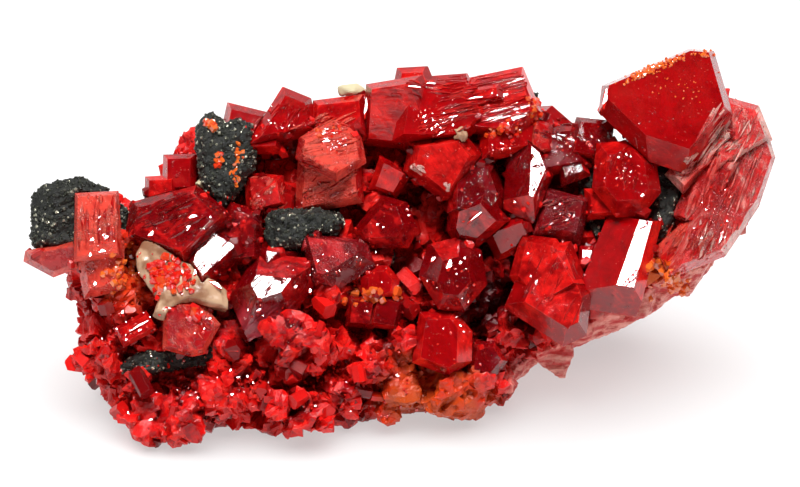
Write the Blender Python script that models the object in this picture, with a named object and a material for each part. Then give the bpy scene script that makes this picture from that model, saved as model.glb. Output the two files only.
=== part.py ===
"""A realgar specimen: a lump of massive red ore with realgar crystals grown on it, black sulphide lumps and
some calcite. It lies on its flat broken underside, +Z up, with its long side along X.

The side that carries the best crystals is called the face. It leans back from upright, so places on it are
given in its own frame, in millimetres: across to the right, up the slope of the face, and out of the face.
"""

import math
import random

import bmesh
import bpy
from mathutils import Matrix, Vector, noise
from mathutils.bvhtree import BVHTree

MM = 0.001

# Driving dimensions, in millimetres and degrees
FACE_LEAN = 30.0  # how far the face leans back from upright
FACE_FOOT = (0.0, -11.8)  # where the foot of the face stands, in x and y from the middle of the underside
SEAM = 0.08  # gap between two pieces that grew against each other
ROOT = 5.0  # how deep a crystal goes into the ore behind its front
BLANK = 60.0  # side of the cube that a crystal is cut from
FLAT_ANGLE = 0.02  # faces that turn less than this, in radians, count as one
GRAIN = 0.75  # size of the cells that the lumps of ore are joined with
ORE_TRIANGLES = 960
CRUMBS = 46  # small crystals grown together with the ore
FRONT_CRUMBS = 26  # those of them on the lower front
BACK_CRYSTALS = 7
SEED = 7

# Unit cell of realgar, in angstroms and degrees
CELL_A, CELL_B, CELL_C, CELL_BETA = 9.33, 13.57, 6.59, 106.4

# Crystal habits: each form's Miller indices, and how far out it lies (1 touches the corner of its box)
STOUT = {(1, 0, 0): 1.0, (0, 1, 0): 1.0, (1, 1, 0): 0.84, (0, 0, 1): 1.0, (0, 1, 1): 0.86}
WEDGE = {(1, 1, 0): 0.8, (0, 1, 0): 0.95, (0, 0, 1): 0.95, (-1, 1, 1): 0.78}
PLAIN = {(1, 1, 0): 0.82, (1, 0, 0): 0.95, (0, 0, 1): 0.95}

FINISHES = {
    "ore": ((0.50, 0.03, 0.025), 0.45),
    "crimson": ((0.36, 0.008, 0.012), 0.12),
    "scarlet": ((0.62, 0.02, 0.012), 0.15),
    "frosted": ((0.48, 0.06, 0.06), 0.4),
    "sulphide": ((0.02, 0.025, 0.024), 0.5),
    "calcite": ((0.62, 0.5, 0.32), 0.35),
}


def clear_scene():
    for thing in list(bpy.data.objects):
        bpy.data.objects.remove(thing)


def material(finish):
    made = bpy.data.materials.get(finish)
    if made is None:
        colour, roughness = FINISHES[finish]
        made = bpy.data.materials.new(finish)
        made.use_nodes = True
        shader = made.node_tree.nodes["Principled BSDF"]
        shader.inputs["Base Color"].default_value = (*colour, 1.0)
        shader.inputs["Roughness"].default_value = roughness
        shader.inputs["Metallic"].default_value = 0.0
    return made


def face_frame():
    """Turns a place on the face, in millimetres, into the specimen's own frame, still in millimetres."""
    lean = math.radians(FACE_LEAN)
    across = Vector((1, 0, 0))
    up = Vector((0, math.sin(lean), math.cos(lean)))
    out = Vector((0, -math.cos(lean), math.sin(lean)))
    turned = Matrix((across, up, out)).transposed().to_4x4()
    return Matrix.Translation((*FACE_FOOT, 0)) @ turned


def facing(turn, lean):
    """Unit direction in the face frame: turn runs anticlockwise from across, lean rises out of the face."""
    turn, lean = math.radians(turn), math.radians(lean)
    flat = math.cos(lean)
    return Vector((flat * math.cos(turn), flat * math.sin(turn), math.sin(lean)))


def cut_block(planes):
    """The convex block that lies behind every plane (normal, distance from the block's centre)."""
    bm = bmesh.new()
    bmesh.ops.create_cube(bm, size=BLANK)
    for normal, reach in planes:
        every = bm.verts[:] + bm.edges[:] + bm.faces[:]
        place = normal * reach
        cut = bmesh.ops.bisect_plane(bm, geom=every, plane_co=place, plane_no=normal, clear_outer=True)
        rim = [e for e in cut["geom_cut"] if isinstance(e, bmesh.types.BMEdge)]
        if rim:
            bmesh.ops.edgeloop_fill(bm, edges=rim)
    bmesh.ops.remove_doubles(bm, verts=bm.verts[:], dist=0.004)
    bmesh.ops.dissolve_limit(bm, angle_limit=0.002, verts=bm.verts[:], edges=bm.edges[:])
    bmesh.ops.recalc_face_normals(bm, faces=bm.faces[:])
    return bm


def put_in_scene(name, bm, finish, frame):
    mesh = bpy.data.meshes.new(name)
    bm.transform(frame)
    bm.transform(Matrix.Scale(MM, 4))
    bm.to_mesh(mesh)
    bm.free()
    made = bpy.data.objects.new(name, mesh)
    bpy.context.scene.collection.objects.link(made)
    mesh.materials.append(material(finish))
    return made


def hide(thing):
    thing.hide_render = True
    thing.display_type = "WIRE"
    return thing


def evaluated(thing):
    """Fixes the object's modifiers into its mesh."""
    bpy.context.view_layer.update()
    graph = bpy.context.evaluated_depsgraph_get()
    mesh = bpy.data.meshes.new_from_object(thing.evaluated_get(graph))
    thing.modifiers.clear()
    thing.data = mesh
    return thing


def join(thing, other):
    """Makes one solid of two that cross, and drops the second."""
    step = thing.modifiers.new("join", "BOOLEAN")
    step.operation = "UNION"
    step.solver = "EXACT"
    step.object = other
    evaluated(thing)
    bpy.data.objects.remove(other)


def cut_away(thing, cutters):
    """Takes all the cutters out of a solid at once."""
    together = bpy.data.collections.new("cutters")
    bpy.context.scene.collection.children.link(together)
    for cutter in cutters:
        together.objects.link(cutter)
    step = thing.modifiers.new("seam", "BOOLEAN")
    step.operation = "DIFFERENCE"
    step.solver = "EXACT"
    step.operand_type = "COLLECTION"
    step.collection = together
    evaluated(thing)
    bpy.data.collections.remove(together)


def largest_body(thing):
    """Drops the crumbs that a cut leaves behind, and keeps the one large body."""
    bm = bmesh.new()
    bm.from_mesh(thing.data)
    left = set(bm.verts)
    bodies = []
    while left:
        body, edge = set(), [left.pop()]
        while edge:
            vertex = edge.pop()
            body.add(vertex)
            for link in vertex.link_edges:
                other = link.other_vert(vertex)
                if other in left:
                    left.discard(other)
                    edge.append(other)
        bodies.append(body)
    bodies.sort(key=len)
    for body in bodies[:-1]:
        bmesh.ops.delete(bm, geom=list(body), context="VERTS")
    bm.to_mesh(thing.data)
    bm.free()
    return thing


def box_of(thing):
    corners = [v.co for v in thing.data.vertices]
    low = Vector(min(c[i] for c in corners) for i in range(3))
    high = Vector(max(c[i] for c in corners) for i in range(3))
    return low, high


def meet(one, other):
    (low, high), (low2, high2) = box_of(one), box_of(other)
    return all(low[i] < high2[i] and low2[i] < high[i] for i in range(3))


def table(at, front, sides, drop=1.2, root=ROOT):
    """A crystal with one broad front face. front is the front face's turn, lean and reach. Each side is its
    turn, how far from the centre its slope starts at the front and ends, and how far that is behind, if not
    drop."""
    turn, lean, ahead = front
    normal = facing(turn, lean)
    planes = [(normal, ahead), (facing(0, -90), root)]
    for turn, inner, outer, *own in sides:
        planes.append((facing(turn, -4), outer))
        if outer > inner:
            start = facing(turn, 0) * inner
            start.z = (ahead - normal.dot(start)) / normal.z
            along = normal.cross(facing(turn, 0)).normalized()
            fall = facing(turn, 0) * (outer - inner) - Vector((0, 0, own[0] if own else drop))
            slope = fall.cross(along).normalized()
            if slope.dot(facing(turn, 0)) < 0:
                slope = -slope
            planes.append((slope, slope.dot(start)))
    return Vector(at), planes


def face_normal(h, k, l):
    """Unit normal of a crystal face, with the c axis along Z and the b axis along Y."""
    beta = math.radians(CELL_BETA)
    a_star = Vector((1 / (CELL_A * math.sin(beta)), 0, 0))
    b_star = Vector((0, 1 / CELL_B, 0))
    c_star = Vector((-math.cos(beta) / math.sin(beta) / CELL_C, 0, 1 / CELL_C))
    return (h * a_star + k * b_star + l * c_star).normalized()


def prism(at, axis, roll, size, habit=STOUT):
    """A crystal of a known habit. axis is the way its c axis points, and size its width, depth and length."""
    half = Vector(size) / 2
    turned = axis.to_track_quat("Z", "Y").to_matrix() @ Matrix.Rotation(math.radians(roll), 3, "Z")
    planes = []
    for (h, k, l), share in habit.items():
        for one in {(h, k, l), (h, -k, l), (-h, k, -l), (-h, -k, -l)}:
            normal = face_normal(*one)
            corner = sum(abs(normal[i]) * half[i] for i in range(3))
            planes.append((turned @ normal, corner * share))
    return Vector(at), planes


def widened(outline, spare):
    """The closed outline with every side moved outwards by spare."""
    grown = []
    for before, point, after in zip(outline[-1:] + outline[:-1], outline, outline[1:] + outline[:1]):
        one = (point - before).normalized()
        other = (after - point).normalized()
        one, other = Vector((one.y, -one.x)), Vector((other.y, -other.x))
        grown.append(point + (one + other) * spare / max(0.35, 1 + one.dot(other)))
    return grown


def block(name, crystal, finish, spare=0.0):
    """One crystal as an object, with spare millimetres added all round."""
    centre, planes = crystal
    bm = cut_block([(normal, reach + spare) for normal, reach in planes])
    return put_in_scene(name, bm, finish, face_frame() @ Matrix.Translation(centre))


class Specimen:
    """The pieces made so far, and what each of them takes out of the pieces that grew round it."""

    def __init__(self):
        self.cutters = []
        self.crystals = []
        self.lumps = []

    def make_room(self, thing):
        near = [cutter for cutter in self.cutters if meet(thing, cutter)]
        if near:
            cut_away(thing, near)
        return largest_body(thing)

    def taken(self, spot, margin):
        """Whether a place in the face frame lies in a piece, or nearer to one than the margin."""
        in_crystal = any(
            all((spot - centre).dot(normal) < reach + margin for normal, reach in planes)
            for centre, planes in self.crystals
        )
        return in_crystal or any((spot - centre).length < reach + margin for centre, reach in self.lumps)

    def grow(self, name, finish, *crystals):
        """Crystals that grew through each other, as one solid that gives way to the pieces before it."""
        thing = block(name, crystals[0], finish)
        for crystal in crystals[1:]:
            join(thing, block(name + "_twin", crystal, finish))
        self.make_room(thing)
        room = [hide(block(name + "_room", crystal, finish, SEAM)) for crystal in crystals]
        self.cutters.extend(room)
        self.crystals.extend(crystals)

    def settle(self, name, finish, shape, frame, reach):
        """Makes a piece, and the room that it takes, from a function of the spare millimetres round it."""
        thing = put_in_scene(name, shape(0.0), finish, frame)
        self.make_room(thing)
        self.cutters.append(hide(put_in_scene(name + "_room", shape(SEAM), finish, frame)))
        self.lumps.append((face_frame().inverted() @ frame.translation, reach))

    def lump(self, name, finish, at, radii, turn=0.0, rough=0.2, fine=2):
        """A rounded, rough lump that gives way to the pieces before it."""
        def shape(spare):
            bm = bmesh.new()
            bmesh.ops.create_icosphere(bm, subdivisions=fine, radius=1.0)
            for vertex in bm.verts:
                swell = 1 + rough * noise.noise(vertex.co * 1.9 + Vector(at))
                swell += rough * 0.6 * noise.noise(vertex.co * 4.5 + Vector(at))
                vertex.co = Vector(vertex.co[i] * (radii[i] * swell + 1.6 * spare) for i in range(3))
            return bm

        place = face_frame() @ Matrix.Translation(at) @ Matrix.Rotation(math.radians(turn), 4, "Z")
        self.settle(name, finish, shape, place, sum(radii) / 3)

    def chunk(self, name, finish, at, outline, ahead, drop, root, front=0.72, facing_to=(90, 84)):
        """A broken lump with a sharp outline, given anticlockwise from its centre. Its front is smaller, and
        stands ahead of the centre. The outline is widest a drop behind that, and the back lies at root."""
        def shape(spare):
            bm = bmesh.new()
            rings = ((ahead + spare, front), (ahead - drop, 1.0), (-root - spare, 0.85))
            rows = []
            for height, share in rings:
                ring = widened([Vector(p) * share for p in outline], spare)
                jag = 0.35 if share < 1 else 0.0
                rows.append([
                    bm.verts.new((p.x, p.y, height + jag * noise.noise(Vector((p.x, p.y, height)) * 1.3)))
                    for p in ring
                ])
            for low, high in zip(rows[1:], rows):
                for i in range(len(outline)):
                    j = (i + 1) % len(outline)
                    bm.faces.new((low[i], low[j], high[j], high[i]))
            bm.faces.new(rows[0])
            bm.faces.new(rows[-1][::-1])
            bmesh.ops.triangulate(bm, faces=bm.faces[:])
            bmesh.ops.recalc_face_normals(bm, faces=bm.faces[:])
            return bm

        normal = facing(*facing_to)
        side = Vector((0, 1, 0)).cross(normal).normalized()
        tilt = Matrix((side, normal.cross(side), normal)).transposed().to_4x4()
        reach = sum(Vector(p).length for p in outline) / len(outline)
        self.settle(name, finish, shape, face_frame() @ Matrix.Translation(at) @ tilt, reach)


# Outline of the specimen, seen straight at the face: across and up
OUTLINE = (
    (-26.2, 12.7), (-25.3, 17.5), (-22.4, 18.5), (-20.2, 17.2), (-16.9, 17.5), (-16.1, 19.2), (-14.3, 20.3),
    (-14.3, 21.7), (-12.6, 23.2), (-9.0, 22.4), (-8.0, 24.1), (-2.4, 24.4), (-0.5, 25.1), (0.0, 26.1),
    (4.2, 25.1),
    (7.3, 25.8), (10.0, 22.4), (13.8, 22.5), (13.8, 24.7), (20.0, 27.4), (22.1, 26.6), (22.7, 24.1),
    (25.3, 22.9),
    (26.0, 20.6), (24.4, 16.4), (22.4, 12.5), (20.3, 9.8), (14.0, 7.1), (10.1, 5.7), (7.0, 3.1), (2.8, 1.0),
    (-2.1, 1.1), (-10.5, 1.0), (-14.7, 0.6), (-16.9, -0.2), (-18.9, 0.0), (-18.9, 2.1), (-21.0, 4.3),
    (-22.2, 6.4),
    (-23.1, 11.2),
)

# Lumps that the ore is made of: across, up, out, then their half sizes the same way
ORE_LUMPS = (
    (-20.3, 12.4, -4.2, 3.2, 4.0, 4.0),
    (-17.6, 7.6, -3.4, 4.6, 5.4, 4.6),
    (-14.4, 3.0, -2.6, 4.3, 3.4, 4.2),
    (-17.4, 1.4, -0.9, 3.2, 2.6, 2.8),
    (-12.0, 12.0, -5.2, 6.0, 6.4, 5.2),
    (-7.0, 5.4, -4.2, 6.8, 5.6, 5.8),
    (-3.5, 12.6, -6.4, 8.0, 7.2, 6.0),
    (1.4, 5.0, -4.8, 6.4, 4.4, 5.4),
    (4.2, 4.0, -4.6, 4.2, 3.4, 4.4),
    (3.6, 14.4, -7.4, 7.4, 6.8, 6.2),
    (3.4, 20.9, -6.2, 5.8, 3.2, 4.2),
    (-5.0, 19.2, -6.4, 4.8, 3.2, 4.2),
    (-11.4, 17.6, -6.2, 3.6, 3.4, 3.6),
    (10.6, 14.2, -6.8, 6.0, 6.2, 5.6),
    (7.4, 7.0, -5.6, 3.8, 3.6, 4.2),
    (15.8, 16.4, -6.0, 5.0, 5.2, 5.0),
    (13.2, 10.0, -5.4, 6.0, 3.4, 4.6),
    (19.0, 13.6, -4.6, 3.6, 3.6, 4.2),
    (20.6, 17.4, -5.2, 2.6, 3.6, 3.6),
    (-6.0, 9.4, -12.8, 11.0, 7.4, 5.6),
    (5.6, 12.2, -12.4, 8.6, 7.6, 5.0),
)


def outline_margin(across, up):
    """How far a place lies inside the outline, below zero outside, and the outline's nearest point."""
    inside, nearest, shortest = False, None, BLANK
    place = Vector((across, up))
    for start, end in zip(OUTLINE, OUTLINE[1:] + OUTLINE[:1]):
        start, end = Vector(start), Vector(end)
        side = end - start
        share = min(1.0, max(0.0, (place - start).dot(side) / side.length_squared))
        point = start + side * share
        if (place - point).length < shortest:
            nearest, shortest = point, (place - point).length
        if (start.y > up) != (end.y > up) and across < start.x + side.x * (up - start.y) / side.y:
            inside = not inside
    return (shortest if inside else -shortest), nearest


def ore_body():
    """The ore before the crystals take their room: lumps run together and roughened."""
    bm = bmesh.new()
    for across, up, out, *half in ORE_LUMPS:
        shape = Matrix.Translation((across, up, out)) @ Matrix.Diagonal((*half, 1))
        bmesh.ops.create_icosphere(bm, subdivisions=3, radius=1.0, matrix=shape)
    thing = put_in_scene("ore", bm, "ore", face_frame())
    remesh = thing.modifiers.new("run_together", "REMESH")
    remesh.mode = "VOXEL"
    remesh.voxel_size = GRAIN * MM
    evaluated(thing)
    to_face = face_frame().inverted()
    normals = [Vector(v.normal) for v in thing.data.vertices]
    for vertex, normal in zip(thing.data.vertices, normals):
        spot = vertex.co / MM
        cells, points = noise.voronoi(spot / 3.1)
        broken = (cells[1] - cells[0]) * 1.3 - 0.35
        swell = 1.3 * noise.noise(spot / 4.6) + 0.9 * noise.noise(spot / 1.9 + points[0]) + broken
        spot = to_face @ (spot + normal * swell)
        margin, rim = outline_margin(spot.x, spot.y)
        if margin < 0:
            spot.xy = rim
        vertex.co = face_frame() @ spot * MM
    thin = thing.modifiers.new("facets", "DECIMATE")
    thin.ratio = ORE_TRIANGLES / (2 * len(thing.data.polygons))
    return evaluated(thing)


def surface_of(thing):
    """The piece's surface in the face frame, to find places on."""
    back = face_frame().inverted()
    corners = [back @ (v.co / MM) for v in thing.data.vertices]
    return BVHTree.FromPolygons(corners, [tuple(p.vertices) for p in thing.data.polygons])


def add_crumbs(ore, surface, stone):
    """Small crystals grown together with the ore, where no larger one stands."""
    chance = random.Random(SEED)
    placed = []
    while len(placed) < CRUMBS:
        if len(placed) < FRONT_CRUMBS:
            way = facing(270, 50)
            start = Vector((chance.uniform(-21, 12), chance.uniform(0.5, 9), 0)) + way * BLANK
        else:
            way = Vector((chance.gauss(0, 1), chance.gauss(0, 1), chance.gauss(0, 1))).normalized()
            start = Vector((chance.uniform(-21, 20), chance.uniform(1, 22), -6.5)) + way * BLANK
        spot, normal, _, _ = surface.ray_cast(start, -way)
        side = chance.uniform(1.5, 3.1)
        if spot is None or stone.taken(spot, 0.2) or any((spot - other).length < 1.9 for other in placed):
            continue
        if outline_margin(spot.x, spot.y)[0] < 0.5 * side:
            continue
        placed.append(spot)
        lean = Vector((chance.gauss(0, 0.45), chance.gauss(0, 0.45), chance.gauss(0, 0.45)))
        axis = (normal + lean).normalized()
        size = (side, side * chance.uniform(0.7, 1.0), side * chance.uniform(1.0, 1.5))
        habit = chance.choice((STOUT, WEDGE, PLAIN))
        crumb = prism(spot + normal * 0.1 * side, axis, chance.uniform(0, 180), size, habit)
        join(ore, block("crumb", crumb, "ore"))


def cut_flat_underneath(ore):
    bm = bmesh.new()
    bm.from_mesh(ore.data)
    every = bm.verts[:] + bm.edges[:] + bm.faces[:]
    cut = bmesh.ops.bisect_plane(bm, geom=every, plane_co=(0, 0, 0), plane_no=(0, 0, -1), clear_outer=True)
    rim = [e for e in cut["geom_cut"] if isinstance(e, bmesh.types.BMEdge)]
    bmesh.ops.holes_fill(bm, edges=rim)
    bm.to_mesh(ore.data)
    bm.free()


def merge_flat_faces(thing):
    bm = bmesh.new()
    bm.from_mesh(thing.data)
    bmesh.ops.dissolve_limit(bm, angle_limit=FLAT_ANGLE, verts=bm.verts[:], edges=bm.edges[:])
    bmesh.ops.triangulate(bm, faces=bm.faces[:])
    bm.to_mesh(thing.data)
    bm.free()


def build():
    clear_scene()
    stone = Specimen()
    ore = ore_body()
    surface = surface_of(ore)

    # The large crystal at the top right, and the columns that lean on it
    stone.grow(
        "big_top_crystal", "crimson",
        table((18.5, 23.2, 0.2), (100, 84, 2.6), [
            (113, 3.0, 3.15), (85, 4.15, 4.3), (16, 4.0, 4.4), (-39, 3.1, 3.95), (-108, 2.2, 3.8),
            (-134, 2.3, 3.35), (173, 4.1, 4.5)], drop=1.6, root=3.4),
    )
    stone.grow(
        "right_columns", "frosted",
        table((24.0, 18.6, -2.2), (20, 62, 2.4), [
            (62, 3.6, 3.9), (17, 2.3, 2.6), (-20, 1.5, 1.8), (-36, 1.8, 2.2), (-70, 4.4, 4.8),
            (157, 1.6, 2.0)],
            drop=1.4, root=3.6),
        table((24.0, 22.6, -2.0), (60, 58, 1.4), [
            (75, 0.7, 1.1), (20, 1.0, 1.4), (-60, 2.0, 2.4), (180, 1.6, 2.0)], drop=1.0, root=3.0),
        table((21.6, 17.6, -1.0), (160, 66, 2.0), [
            (62, 2.2, 2.7), (-25, 0.9, 1.2), (-118, 2.6, 2.9), (155, 1.0, 1.5)], drop=1.2, root=4.0),
        table((21.0, 19.8, -0.6), (135, 60, 1.5), [
            (45, 2.6, 2.9), (-42, 0.5, 0.8), (-135, 2.2, 2.6), (138, 0.5, 1.0)], drop=1.0, root=3.6),
    )
    stone.grow(
        "ember_ridge", "scarlet",
        table((19.9, 13.7, -0.4), (140, 60, 1.6), [
            (42, 1.9, 2.2), (-50, 0.7, 1.1), (-138, 1.9, 2.3), (132, 0.7, 1.2)], drop=1.1, root=4.0),
    )

    # The crystals on the right half of the face
    stone.grow(
        "long_mirror_prism", "crimson",
        table((15.6, 12.9, 0.4), (90, 66, 2.1), [
            (82, 2.65, 2.8), (-16, 1.28, 1.95, 1.1), (-98, 2.1, 4.0, 2.2),
            (160, -0.2, 2.0)], drop=1.5, root=4.6),
    )
    stone.grow(
        "front_right_crystal", "scarlet",
        table((10.6, 10.4, 1.2), (110, 74, 2.3), [
            (98, 2.7, 3.3), (20, 1.8, 2.5), (-8, 2.1, 2.7), (-65, 2.7, 3.7), (-122, 1.6, 2.7),
            (158, 1.5, 2.6)],
            drop=1.5, root=5.0),
        table((9.8, 12.0, 0.6), (140, 66, 2.2), [
            (80, 1.7, 2.2), (30, 1.5, 2.0), (-60, 2.0, 2.4), (-140, 1.5, 2.0),
            (165, 1.4, 1.9)], drop=1.2, root=4.4),
    )
    stone.grow(
        "seed_mirror_crystal", "crimson",
        table((13.1, 12.9, 0.6), (90, 66, 0.7), [
            (90, 0.4, 0.7), (10, 0.35, 0.55), (-90, 0.5, 0.9), (180, 0.35, 0.6)], drop=0.6, root=3.0),
    )
    stone.grow(
        "right_middle_crystal", "crimson",
        table((15.9, 18.5, -0.2), (60, 76, 2.2), [
            (95, 1.6, 2.4), (45, 1.5, 2.2), (8, 1.3, 2.1), (-40, 1.7, 2.5), (-88, 1.7, 2.8), (-140, 1.7, 2.4),
            (175, 1.5, 2.3)], drop=1.2, root=4.4),
        table((14.0, 16.4, -0.6), (140, 72, 1.3), [
            (90, 0.8, 1.2), (10, 0.8, 1.2), (-85, 0.5, 0.9), (185, 0.6, 1.0)], drop=0.8, root=3.6),
    )
    stone.grow(
        "frosted_square_crystal", "frosted",
        table((11.4, 15.9, -0.2), (60, 77, 1.6), [
            (75, 1.1, 1.4), (-12, 1.2, 1.6), (-100, 1.2, 2.2), (165, 1.3, 1.7)], drop=1.0, root=4.4),
    )
    stone.grow(
        "back_right_crystals", "crimson",
        table((11.3, 20.7, -1.6), (80, 62, 1.5), [
            (95, 0.9, 1.4), (20, 0.9, 1.4), (-80, 1.4, 1.9), (170, 1.0, 1.6)], drop=1.0, root=3.6),
        table((13.5, 21.4, -2.0), (60, 60, 1.4), [
            (85, 0.8, 1.1), (-10, 1.0, 1.4), (-100, 1.4, 1.8), (165, 1.0, 1.4)], drop=1.0, root=3.4),
        table((12.0, 19.2, -0.6), (80, 68, 1.0), [
            (120, 0.6, 0.9), (20, 0.7, 1.0), (-70, 0.6, 1.1), (190, 0.6, 0.9)], drop=0.7, root=3.4),
    )

    # The crystals in the middle of the face
    stone.grow(
        "arrow_mirror_crystal", "crimson",
        table((8.9, 18.2, 0.2), (92, 66, 1.9), [
            (49, 1.98, 2.5), (21, 1.45, 1.8), (-24, 0.84, 1.5), (-116, 0.9, 2.5), (177, -0.18, 1.5)],
            drop=1.4, root=4.6),
    )
    stone.grow(
        "scarlet_crystal", "scarlet",
        table((3.0, 19.1, 0.6), (250, 76, 2.0), [
            (98, 1.6, 2.0), (40, 1.9, 2.6), (-30, 1.2, 1.8), (-80, 1.7, 2.3), (-128, 1.2, 1.9),
            (165, 1.9, 2.6)],
            drop=1.3, root=4.6),
    )
    stone.grow(
        "middle_crystals", "crimson",
        table((5.6, 17.6, -0.2), (40, 70, 1.9), [
            (92, 2.4, 3.2), (20, 1.0, 1.5), (-35, 1.4, 2.0), (-100, 1.6, 2.0),
            (180, 1.6, 2.2)], drop=1.2, root=4.6),
        table((5.2, 15.2, 0.1), (250, 70, 2.0), [
            (110, 1.1, 1.7), (42, 1.2, 1.9), (-48, 0.9, 1.4), (-100, 1.0, 1.7), (-150, 1.3, 1.9),
            (170, 1.2, 1.8)],
            drop=1.1, root=4.4),
    )
    stone.grow(
        "spangled_crystal", "crimson",
        table((3.7, 11.7, 0.9), (30, 76, 2.1), [
            (105, 1.0, 2.3), (62, 1.2, 2.3), (10, 1.1, 2.2), (-42, 1.3, 2.3), (-98, 1.5, 2.6),
            (-150, 1.3, 2.1),
            (165, 0.9, 2.2)], drop=1.4, root=4.8),
    )
    stone.grow(
        "heart_crystal", "scarlet",
        table((-1.1, 15.1, 0.0), (130, 68, 1.9), [
            (72, 1.4, 1.9), (20, 1.2, 2.0), (-30, 1.2, 2.2), (-88, 0.9, 1.6), (-152, 1.6, 2.2),
            (140, 0.9, 1.4)],
            drop=1.2, root=4.4),
    )
    stone.grow(
        "small_wedge_crystal", "crimson",
        table((-0.8, 18.2, -0.4), (230, 70, 1.3), [
            (62, 0.9, 1.2), (-30, 0.7, 1.1), (-110, 0.7, 1.1), (160, 0.7, 1.1)], drop=0.8, root=3.8),
    )
    stone.grow(
        "smoky_facet_crystal", "crimson",
        table((7.7, 14.3, -0.6), (250, 64, 1.6), [
            (110, 0.6, 1.0), (25, 1.1, 1.5), (-60, 0.8, 1.2), (205, 1.1, 1.6)], drop=0.8, root=3.8),
    )
    stone.grow(
        "orange_finger", "scarlet",
        table((9.9, 21.2, -0.6), (60, 66, 1.2), [
            (70, 0.9, 1.1), (0, 0.5, 0.8), (-75, 0.9, 1.3), (170, 0.5, 0.8)], drop=0.7, root=3.6),
    )
    stone.grow(
        "crown_crystals", "crimson",
        table((0.0, 22.6, -0.6), (215, 66, 1.9), [
            (98, 2.2, 2.6), (20, 1.4, 2.4), (-62, 1.6, 2.2), (-95, 1.7, 2.2),
            (176, 2.1, 2.5)], drop=1.4, root=4.4),
        table((2.6, 23.2, -0.8), (80, 56, 2.2), [
            (95, 1.7, 2.3), (25, 2.6, 3.0), (-45, 2.4, 2.9), (-90, 1.8, 2.2),
            (170, 2.0, 2.5)], drop=1.2, root=4.2),
        table((0.8, 24.9, -1.2), (120, 60, 1.4), [
            (92, 0.8, 1.2), (20, 1.0, 1.5), (-70, 1.1, 1.5), (170, 0.8, 1.2)], drop=0.8, root=3.2),
        table((6.2, 23.5, -1.6), (95, 58, 2.0), [
            (102, 1.6, 2.1), (20, 2.9, 3.2), (-50, 2.2, 2.9), (-95, 1.6, 2.0),
            (175, 2.6, 3.0)], drop=1.0, root=3.8),
        table((6.4, 24.2, -1.4), (100, 50, 1.3), [
            (104, 0.9, 1.2), (14, 2.3, 2.6), (-72, 0.8, 1.1), (-166, 2.3, 2.6)], drop=0.6, root=3.0),
        table((4.6, 24.0, -0.3), (125, 58, 0.9), [
            (100, 0.3, 0.45), (10, 2.2, 2.5), (-80, 0.3, 0.5), (190, 2.2, 2.4)], drop=0.4, root=3.0),
        table((5.2, 22.9, 0.0), (60, 52, 0.8), [
            (98, 0.3, 0.45), (8, 2.6, 2.8), (-82, 0.3, 0.5), (188, 2.0, 2.2)], drop=0.4, root=3.0),
        table((7.9, 21.9, -1.2), (60, 60, 1.7), [
            (60, 1.6, 2.1), (-5, 1.6, 2.1), (-80, 1.4, 1.9), (180, 1.7, 2.2)], drop=1.0, root=3.8),
    )
    stone.grow(
        "striated_block", "scarlet",
        table((-4.9, 20.3, 0.0), (80, 52, 1.7), [
            (118, 1.4, 1.7), (68, 1.7, 2.1), (8, 1.9, 2.3), (-60, 1.6, 2.0), (-118, 1.2, 1.6),
            (172, 1.8, 2.2)],
            drop=0.9, root=4.2),
        table((-5.0, 18.2, -0.4), (230, 74, 1.6), [
            (85, 1.6, 2.0), (5, 1.9, 2.3), (-78, 1.5, 2.0), (176, 1.7, 2.2)], drop=0.9, root=4.2),
    )
    stone.grow(
        "frosted_crystal", "frosted",
        table((-4.5, 12.7, 1.0), (128, 73, 1.7), [
            (82, 1.2, 1.5), (18, 1.6, 2.4), (-58, 0.5, 1.9), (-108, 1.3, 2.0),
            (195, 1.5, 2.0)], drop=1.3, root=4.6),
        table((-6.2, 14.1, 0.8), (130, 74, 0.8), [
            (85, 0.6, 0.8), (5, 0.6, 0.8), (-85, 0.5, 0.8), (180, 0.5, 0.7)], drop=0.5, root=3.4),
    )
    stone.grow(
        "cavity_crystals", "scarlet",
        table((-9.4, 17.3, -1.2), (110, 70, 1.5), [
            (85, 0.9, 1.3), (10, 0.9, 1.4), (-75, 0.9, 1.3), (185, 1.0, 1.4)], drop=0.9, root=3.8),
        table((-8.2, 16.5, -1.4), (60, 70, 1.5), [
            (70, 0.8, 1.1), (-5, 0.6, 1.0), (-85, 0.7, 1.1), (170, 0.8, 1.1)], drop=0.8, root=3.6),
    )
    stone.grow(
        "back_left_crystals", "crimson",
        table((-7.6, 23.1, -2.2), (60, 64, 1.4), [
            (68, 0.8, 1.3), (10, 1.0, 1.5), (-80, 1.4, 2.0), (150, 0.9, 1.4)], drop=1.0, root=3.2),
        table((-4.3, 22.9, -2.3), (124, 56, 1.4), [
            (96, 0.7, 1.1), (5, 1.5, 1.9), (-85, 1.4, 2.0), (175, 1.5, 1.9)], drop=1.0, root=3.0),
    )
    stone.grow(
        "wedge_crystal", "crimson",
        table((-10.4, 22.0, -2.4), (80, 60, 1.5), [
            (76, 0.8, 1.2), (-10, 1.9, 2.4), (-90, 1.4, 1.9), (170, 1.6, 2.0)], drop=1.0, root=3.0),
    )

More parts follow.
